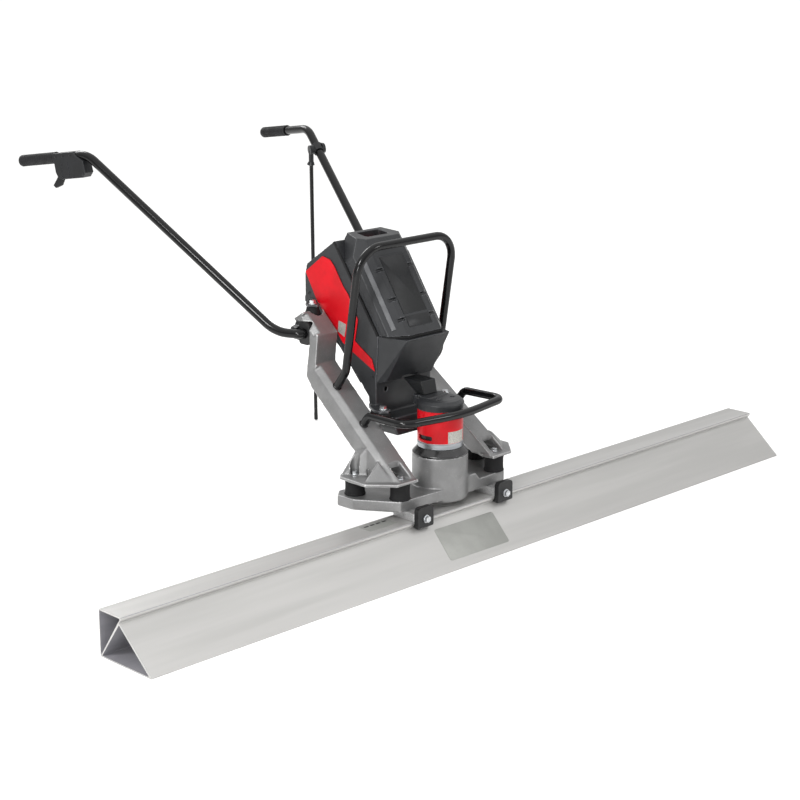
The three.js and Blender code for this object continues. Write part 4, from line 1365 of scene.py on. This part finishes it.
@dataclass
class Handlebars:
    """The two handlebars, with their grips, clamps and knobs."""

    radius: float = 12.5
    grip_radius: float = 16.5
    grip_length: float = 134.0
    knob_x: float = 169.0
    pivot: tuple[float, float] = (420.0, 553.0)
    bends: tuple[float, ...] = (18.0, 110.0, 70.0)
    ribs: int = 17

    def corners(self, side: Side) -> list[Vector]:
        """Places the bar's corners, from the clamp to the grip.

        Args:
            side: Which side it is on.

        Returns:
            The corners, in metres.
        """
        drawn = [(-152, 420, 553), (-204, 420, 553), (-229.3, 490.1, 552), (-411, 1057, 991)]
        return [side.put(*p) for p in (*drawn, (-453.5, 1304, 954.5))]

    def build_grip(self, side: Side) -> None:
        """Builds the soft grip, its flanges and its ribs.

        Args:
            side: Which side it is on.
        """
        body = f"handlebar_{side.tag}"
        corners = self.corners(side)
        out = (corners[-1] - corners[-2]).normalized()
        r, length = self.grip_radius, self.grip_length
        start = corners[-1] - out * length * MM
        profile = [(13.2, 0.4), (r - 0.8, 0), (r, 0.8), (r, 3.4), (r - 1.2, 4.4), (r - 1.2, length - 8)]
        profile += [(r, length - 6), (r, length + 3), (r - 1.2, length + 6), (r - 5, length + 8.6)]
        bm = bmesh.new()
        add_turned(bm, start, out, [*profile, (0, length + 9)], 48)
        dress(object_from(f"soft_grip_{side.tag}", bm), GRIP_RUBBER, body, Slot.RUBBER, f"grip_{side.tag}")
        step = (length - 22) / (self.ribs - 1)
        places = [(start + out * (9 + step * i) * MM, out) for i in range(self.ribs)]
        sizes = {"Ring Radius": (r - 1.3) * MM, "Bead Radius": 1.15 * MM}
        ribs = Repeat(f"grip_ribs_{side.tag}", GRIP_RUBBER).run(places, ring_shape, sizes)
        dress(ribs, GRIP_RUBBER, body, Slot.RUBBER)

    def build_knob(self, side: Side) -> None:
        """Builds the lobed clamping knob and its neck.

        Args:
            side: Which side it is on.
        """
        rings = []
        for reach, depth in ((0.9, 446), (1.0, 447.4), (1.0, 465), (0.94, 468.6), (0.8, 470), (0.3, 470)):
            ring = []
            for i in range(100):
                a = 2 * math.pi * i / 100
                r = (23.6 + 4.4 * math.cos(5 * (a - math.pi / 2))) * reach
                ring.append(side.put(-self.knob_x + r * math.cos(a), depth, self.pivot[1] + r * math.sin(a)))
            rings.append(ring)
        bm = bmesh.new()
        add_loft(bm, rings)
        foot = side.put(-self.knob_x, 441.4, self.pivot[1])
        add_turned(bm, foot, Vector((0, 1, 0)), [(8.9, 0), (8.9, 5)], 32)
        knob = object_from(f"lobed_knob_{side.tag}", bm)
        dress(knob, DARK_NYLON, f"knob_{side.tag}", Slot.RUBBER, f"handle_knob_{side.tag}")

    def build(self) -> None:
        """Builds both handlebars."""
        for side in Side:
            body = f"handlebar_{side.tag}"
            bm = bmesh.new()
            add_tube(bm, rounded_path(self.corners(side), self.bends), self.radius)
            dress(object_from(f"handle_tube_{side.tag}", bm), TUBE_ENAMEL, body, Slot.BLACK_TUBE, body)
            self.build_grip(side)
            self.build_knob(side)
            clamp = softened(f"handle_clamp_{side.tag}", f"split_clamp_{side.tag}", 1.8, 3)
            dress(clamp, BLACK_POWDER, "frame", Slot.BLACK_TUBE, f"handle_clamp_{side.tag}")


@dataclass
class Switch:
    """The switch box under the left grip, and its trigger."""

    along: tuple[float, float, float] = (-0.16780, 0.97523, -0.14411)
    across: tuple[float, float, float] = (0.98552, 0.16957, 0.0)
    up: tuple[float, float, float] = (-0.02444, 0.14203, 0.98956)

    def at(self, x: float, y: float, z: float) -> Vector:
        """Returns a point given across, along and above the grip's inner end."""
        start = vec(-453.5, 1304, 954.5) - Vector(self.along) * 134 * MM
        return start + (Vector(self.across) * x + Vector(self.along) * y + Vector(self.up) * z) * MM

    def band(self, half_width: float, low: float, high: float, top: float, bottom: float) -> bpy.types.Object:
        """Makes a block across the box.

        Args:
            half_width: Half its width across.
            low: Where it starts along the grip.
            high: Where it ends.
            top: Its upper height.
            bottom: Its lower height.

        Returns:
            The block.
        """
        corners = ((-half_width, low), (half_width, low), (half_width, high), (-half_width, high))
        bm = bmesh.new()
        add_loft(bm, [[self.at(a, b, h) for a, b in corners] for h in (top, bottom)])
        return object_from("band", bm)

    def build_box(self) -> None:
        """Builds the box with its two shallow grooves."""
        profile = [(-1, 13), (-78, 13), (-86, 3), (-113, -15), (-117, -48), (-104, -61), (-24, -61), (-8, -54)]
        outline = [Vector(p) for p in rounded_outline([*profile, (-2, -40), (-1, -16)], 4)]
        middle = Vector((-60, -24))
        widths = ((-17, 1.5), (-15.5, 0.0), (15.5, 0.0), (17, 1.5))
        bm = bmesh.new()
        add_loft(bm, [[self.at(x, *(p + (middle - p).normalized() * d)) for p in outline] for x, d in widths])
        box = object_from("switch_moulding", bm, 40)
        grooves = [
            carve(self.band(19, y, y + 1.6, -12, -70), self.band(15.8, y - 1, y + 3, -10, -59.5))
            for y in (-30, -56)
        ]
        carve(box, *grooves)
        finish_edges(box, 40)
        dress(box, DARK_NYLON, "handlebar_left", Slot.DARK_PLASTIC, "switch_box")

    def build(self) -> None:
        """Builds the box, its screws and the trigger."""
        self.build_box()
        out = -Vector(self.across)
        spots = ((-10, 3), (-38, 3), (-66, 3), (-107, -52), (-25, -54))
        places = [(self.at(-17.1 * s, y, z), out * s) for s in (1, -1) for y, z in spots]
        dress(small_screws("switch_screws", places, 3.2), BLACK_POWDER, "handlebar_left", Slot.BLACK_TUBE)
        lever = softened("trigger_lever", "trigger_moulding", 1.6, 3)
        dress(lever, GRIP_RUBBER, "trigger", Slot.RUBBER, "trigger_lever")


@dataclass
class Kickstand:
    """The prop that hangs from the right handlebar."""

    rod_radius: float = 6.0
    foot: tuple[float, float, float] = (578.0, 1218.0, 2.4)
    pivot: tuple[float, float, float] = (368.736, 996.706, 935.893)

    def build(self) -> None:
        """Builds the clip, the socket and the rod."""
        clip = softened("kickstand_clip", "prop_clip", 1.4, 3)
        dress(clip, DARK_NYLON, "handlebar_right", Slot.DARK_PLASTIC, "kickstand_clip")
        socket = softened("kickstand_socket", "prop_socket", 1.2, 3)
        dress(socket, DARK_NYLON, "kickstand", Slot.DARK_PLASTIC, "kickstand_socket")
        top, foot = vec(*self.pivot), vec(*self.foot)
        r, length = self.rod_radius, (foot - top).length / MM
        profile = [(r - 1, 20.5), (r, 21.5), (r, length - 26), (r + 0.4, length - 25), (r + 0.4, length - 2.4)]
        bm = bmesh.new()
        add_turned(bm, top, (foot - top).normalized(), [*profile, (r - 1.4, length - 0.6)], 40)
        dress(object_from("prop_rod", bm), TUBE_ENAMEL, "kickstand", Slot.BLACK_TUBE, "kickstand_rod")


@dataclass
class PowerHead:
    """The battery power head on its four rubber mounts."""

    half_width: float = 104.0
    lower: tuple[float, float] = (118.0, 192.0)
    upper: tuple[float, float] = (142.0, 437.0)
    voxel: float = 2.6

    def build_housing(self) -> None:
        """Builds the housing, its covers and its red panels."""
        housing = copy_of("power_head_housing", "housing")
        carve(housing, *(prism_along("pocket", "y", circle(x, 412, 6.5), 200, 238) for x in (-66, 66)))
        cast_copy("head_housing", housing, self.voxel, 2)
        dress(housing, GREY_NYLON, "frame", Slot.PLASTIC, "power_head_housing")
        for side in Side:
            panel = softened(f"side_panel_{side.tag}", f"red_panel_{side.tag}", 1.1, 3)
            dress(panel, RED_NYLON, "frame", Slot.RED_PLASTIC, f"side_panel_{side.tag}")
        cover = softened("rear_cover", "rear_cover_moulding", 1.2, 2)
        dress(cover, DARK_NYLON, "frame", Slot.DARK_PLASTIC, "rear_cover")
        self.build_cover_ribs()
        guard = softened("battery_guard", "battery_seat", 1.8, 3)
        dress(guard, COVER_NYLON, "frame", Slot.PLASTIC, "battery_guard")
        dress_node("controller_board", SOLDER_MASK)

    def build_cover_ribs(self) -> None:
        """Builds the stiffening ribs across the rear cover's two slopes."""
        places = []
        for (y0, z0), (y1, z1), count in (((382, 505), (507, 595), 7), ((304, 420), (382, 505), 5)):
            along = Vector((0, y1 - y0, z1 - z0)).normalized()
            out = Vector((0, along.z, -along.y))
            for i in range(count):
                share = (i + 1) / (count + 1)
                places.append((vec(0, y0 + (y1 - y0) * share, z0 + (z1 - z0) * share), out))
        sizes = {"Length": 150 * MM, "Width": 4 * MM, "Height": 4.4 * MM}
        ribs = Repeat("rear_cover_ribs", DARK_NYLON).run(places, block_shape, sizes)
        dress(ribs, DARK_NYLON, "frame", Slot.DARK_PLASTIC)

    def build_seal(self) -> None:
        """Builds the black seal that shows between the housing and the battery."""
        (y0, z0), (y1, z1) = (224.5, 563.5), (390.8, 795.4)
        outline = [(y0, z0), (y0 + 4.9, z0 - 3.5), (y1 + 4.9, z1 - 3.5), (y1, z1)]
        seal = prism_along("battery_seal", "x", outline, -self.half_width - 0.9, self.half_width + 0.9)
        dress(soften(seal, 0.9, 2), MOUNT_RUBBER, "frame", Slot.RUBBER)

    def build_panel_details(self) -> None:
        """Builds the small blank plate on the red panel and the housing's side screws."""
        for side in Side:
            bm = bmesh.new()
            corners = rounded_outline([(343, 577), (372, 583), (376, 553), (350, 541)], 2)
            add_loft(bm, [[side.put(-x, y, z) for y, z in corners] for x in (107.2, 107.7)])
            dress(object_from(f"blank_plate_{side.tag}", bm), FOIL_PLATE, "frame", Slot.ALUMINIUM)
        spots = [(246, 450), (262, 350), (480, 700), (492, 640), (380, 560)]
        flank = -self.half_width + 0.1
        places = [(side.put(flank, y, z), Vector((side.value, 0, 0))) for side in Side for y, z in spots]
        dress(small_screws("housing_screws", places, 4.2), BLACK_POWDER, "frame", Slot.BLACK_TUBE)

    def build_mounts(self) -> None:
        """Builds the rubber cones and the screws through the ears."""
        places = []
        for side in Side:
            for name, (x, y), low, high, base, top in (
                ("lower", self.lower, 351.0, 364.0, 20.0, 20.0),
                ("upper", self.upper, 594.3, 616.0, 22.0, 17.0),
            ):
                profile = [(base - 1, low), (base, low + 1), (base, low + 3.5)]
                profile += [((base + top) / 2, (low + high) / 2), (top, high - 3), (top, high - 0.8)]
                bm = bmesh.new()
                add_turned(bm, side.put(-x, y, 0), Vector((0, 0, 1)), [*profile, (top - 0.8, high)], 48)
                cone = object_from(f"rubber_cone_{name}_{side.tag}", bm)
                dress(cone, MOUNT_RUBBER, "frame", Slot.RUBBER, f"{name}_mount_{side.tag}")
                places.append((side.put(-x, y, high + 8.4), Vector((0, 0, 1))))
        names = [f"{kind}_bolt_{side.tag}" for kind in ("ear", "upper") for side in Side]
        screws = bolts("head_screws", places, BoltSize(9, 8.5, 11.5))
        dress(screws, ZINC_PLATE, "frame", Slot.ZINC, *names)

    def build(self) -> None:
        """Builds the whole power head."""
        self.build_housing()
        self.build_seal()
        self.build_panel_details()
        self.build_mounts()


@dataclass
class Battery:
    """The slide-in battery with its rails, its stepped front and its handle."""

    half_width: float = 101.0
    tilt: float = 56.0
    origin: tuple[float, float] = (152.0, 569.0)
    rail_notches: tuple[float, ...] = (49.0, 108.0, 195.0)

    def at(self, x: float, y: float, z: float) -> Vector:
        """Returns a point given across, up along and out of the battery's front face."""
        c, s = math.cos(math.radians(self.tilt)), math.sin(math.radians(self.tilt))
        return vec(x, self.origin[0] + y * c - z * s, self.origin[1] + y * s + z * c)

    def box(self, wide: Point, tall: Point, deep: Point, radius: float = 0.0) -> bpy.types.Object:
        """Makes a block that stands on the front face.

        Args:
            wide: Its two ends across.
            tall: Its two ends up along the face.
            deep: Its two ends out of the face.
            radius: How round its upright corners are.

        Returns:
            The block.
        """
        (x0, x1), (y0, y1) = wide, tall
        outline = rounded_outline([(x0, y0), (x1, y0), (x1, y1), (x0, y1)], radius)
        bm = bmesh.new()
        add_loft(bm, [[self.at(a, b, h) for a, b in outline] for h in deep])
        return object_from("box", bm)

    def seams(self, inward: float, depth: float, width: float) -> list[bpy.types.Object]:
        """Makes cutters for the seam that runs up both sides, a little ahead of the seal.

        Args:
            inward: How far it is ahead of the seal.
            depth: How deep it is cut.
            width: How wide it is.

        Returns:
            A cutter for each side.
        """
        foot, head = Vector((223.5, 563.3)), Vector((390.5, 796.8))
        along = (head - foot).normalized()
        out = Vector((-along.y, along.x))
        foot, head = foot - along * 20, head + along * 20
        near, far = out * inward, out * (inward + width)
        outline = [foot + near, head + near, head + far, foot + far]
        reach = (self.half_width - depth, self.half_width + 8)
        return [prism_along("seam", "x", outline, *sorted(side.value * x for x in reach)) for side in Side]

    def build_rails(self) -> None:
        """Builds the raised rails on the chamfers."""
        bm = bmesh.new()
        for side in Side:
            start, end = Vector((61 * side.value, 0)), Vector((102 * side.value, -34))
            out = Vector((34 * side.value, 41)).normalized()
            inner, outer = start.lerp(end, 0.44), start.lerp(end, 0.70)
            slant = (outer - inner) * 0.10
            quad = [inner - out * 0.6, outer - out * 0.6, outer + out * 2.4 - slant, inner + out * 2.4 + slant]
            add_loft(bm, [[self.at(c.x, y, c.y) for c in quad] for y in (30, 240)])
        rails = soften(object_from("battery_rails", bm), 0.7, 2)
        dress(rails, GREY_NYLON_PALE, "battery", Slot.PLASTIC)

    def build_front_panels(self) -> None:
        """Builds the two raised steps of the front."""
        bm = bmesh.new()
        for low, high in ((25, 56), (62, 229)):
            wide, small = (
                rounded_outline([(-x, low + d), (x, low + d), (x, high - d), (-x, high - d)], 3)
                for x, d in ((43, 0), (42, 1))
            )
            levels = ((wide, -3.6), (wide, -2.6), (small, -2.0))
            add_loft(bm, [[self.at(a, b, h) for a, b in shape] for shape, h in levels])
        dress(object_from("battery_front_panels", bm), DARK_NYLON, "battery", Slot.DARK_PLASTIC)

    def build_foot_pad(self) -> None:
        """Builds a dark rubber pad under the battery, filling the gap above the guard as painted shade for the
        shadow there.
        """
        bm = bmesh.new()
        for x, y, z in ((62, 150.4, 568.6), (102.4, 188.4, 565.6), (102.4, 222, 563.0)):
            for side in Side:
                bm.verts.new(side.put(-x, y, z))
                bm.verts.new(side.put(-x, y, 562.5))
        bmesh.ops.convex_hull(bm, input=bm.verts)
        dress(object_from("battery_foot_pad", bm), MOUNT_RUBBER, "frame", Slot.RUBBER)

    def build(self) -> None:
        """Builds the battery, its rails, its panels and its latch."""
        case = copy_of("battery_case", "battery_moulding")
        cuts = [self.box((-46, 46), (22, 232), (-3.2, 12), 5)]
        for y in self.rail_notches:
            cuts += [self.box((s * 62 - 16, s * 62 + 16), (y - 4.5, y + 4.5), (-9.5, 12)) for s in (-1, 1)]
        carve(case, *cuts, *self.seams(7.5, 2.2, 2.6))
        cast_copy("battery_moulding", case, 1.7, 3)
        dress(case, GREY_NYLON, "battery", Slot.PLASTIC, "battery_case")
        self.build_rails()
        self.build_front_panels()
        self.build_foot_pad()
        latch = softened("battery_latch", "latch_moulding", 1.2, 3)
        dress(latch, RED_NYLON, "latch", Slot.RED_PLASTIC, "battery_latch")


@dataclass
class Studio:
    """The floor, the lights and the camera."""

    camera_place: tuple[float, float, float] = (-3.5139, -3.26693, 1.7123)
    camera_turn: tuple[float, float, float] = (74.836, 0.0, -45.0)
    lens: float = 85.63
    sensor: float = 36.0
    sky_low: float = 0.45
    sky_high: float = 1.42
    floor_half: float = 90.0
    lights: tuple[tuple[str, tuple[float, float, float], float, float], ...] = (
        ("key_light", (-3.4, -0.6, 2.8), 0.9, 85.0),
        ("side_light", (2.2, -3.4, 2.6), 0.9, 26.0),
        ("back_light", (0.5, 3.6, 3.0), 1.4, 45.0),
        ("board_light", (-2.8, -1.3, 1.0), 0.7, 26.0),
    )

    def build_camera(self) -> None:
        """Sets up the camera."""
        data = bpy.data.cameras.new("camera")
        data.lens, data.sensor_width = self.lens, self.sensor
        data.clip_end = 60
        camera = bpy.data.objects.new("camera", data)
        camera.location = self.camera_place
        camera.rotation_euler = [math.radians(a) for a in self.camera_turn]
        bpy.context.scene.collection.objects.link(camera)
        bpy.context.scene.camera = camera

    def build_light(self, name: str, place: Point, size: float, power: float) -> None:
        """Adds a square soft light aimed at the machine's middle.

        Args:
            name: Its name.
            place: Where it stands, in metres.
            size: Its width, in metres.
            power: Its power, in watts.
        """
        data = bpy.data.lights.new(name, "AREA")
        data.size, data.energy = size, power
        light = bpy.data.objects.new(name, data)
        light.location = place
        aim = Vector((0, 0.4, 0.4)) - Vector(place)
        light.rotation_euler = aim.to_track_quat("-Z", "Y").to_euler()
        bpy.context.scene.collection.objects.link(light)

    def build_floor(self) -> None:
        """Lays the floor, just under the board's sole."""
        bm = bmesh.new()
        half = self.floor_half
        corners = [(-half, -half), (half, -half), (half, half), (-half, half)]
        bm.faces.new([bm.verts.new(Vector((x, y, -0.0005))) for x, y in corners])
        floor = object_from("studio_floor", bm)
        floor.data.materials.append(STUDIO_PAPER.material())

    def build_sky(self) -> None:
        """Surrounds the machine with white light, dimmer at the horizon than overhead."""
        world = bpy.data.worlds.new("studio")
        world.use_nodes = True
        tree = world.node_tree
        way = add_node(tree, "ShaderNodeTexCoord").outputs["Generated"]
        high = add_node(tree, "ShaderNodeSeparateXYZ", {0: way}).outputs["Z"]
        limits = {"Value": high, "To Min": self.sky_low, "To Max": self.sky_high}
        glow = add_node(tree, "ShaderNodeMapRange", limits).outputs["Result"]
        sky = tree.nodes["Background"]
        sky.inputs["Color"].default_value = srgb("#ffffff")
        tree.links.new(glow, sky.inputs["Strength"])
        bpy.context.scene.world = world

    def build(self) -> None:
        """Builds floor, lights, surroundings and camera."""
        self.build_floor()
        for light in self.lights:
            self.build_light(*light)
        self.build_sky()
        bpy.context.scene.view_settings.view_transform = "Standard"
        self.build_camera()


def main() -> None:
    """Builds every sub-assembly in order."""
    logging.basicConfig(level=logging.INFO, format="%(name)s %(message)s")
    FRAME.update(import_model())
    for kind in (
        Board, Base, Exciter, Legs, Guards, Handlebars, Switch, Kickstand, PowerHead, Battery, Studio,
    ):
        LOG.info("building %s", kind.__name__)
        kind().build()
    bpy.context.view_layer.update()


if __name__ == "__main__":
    main()
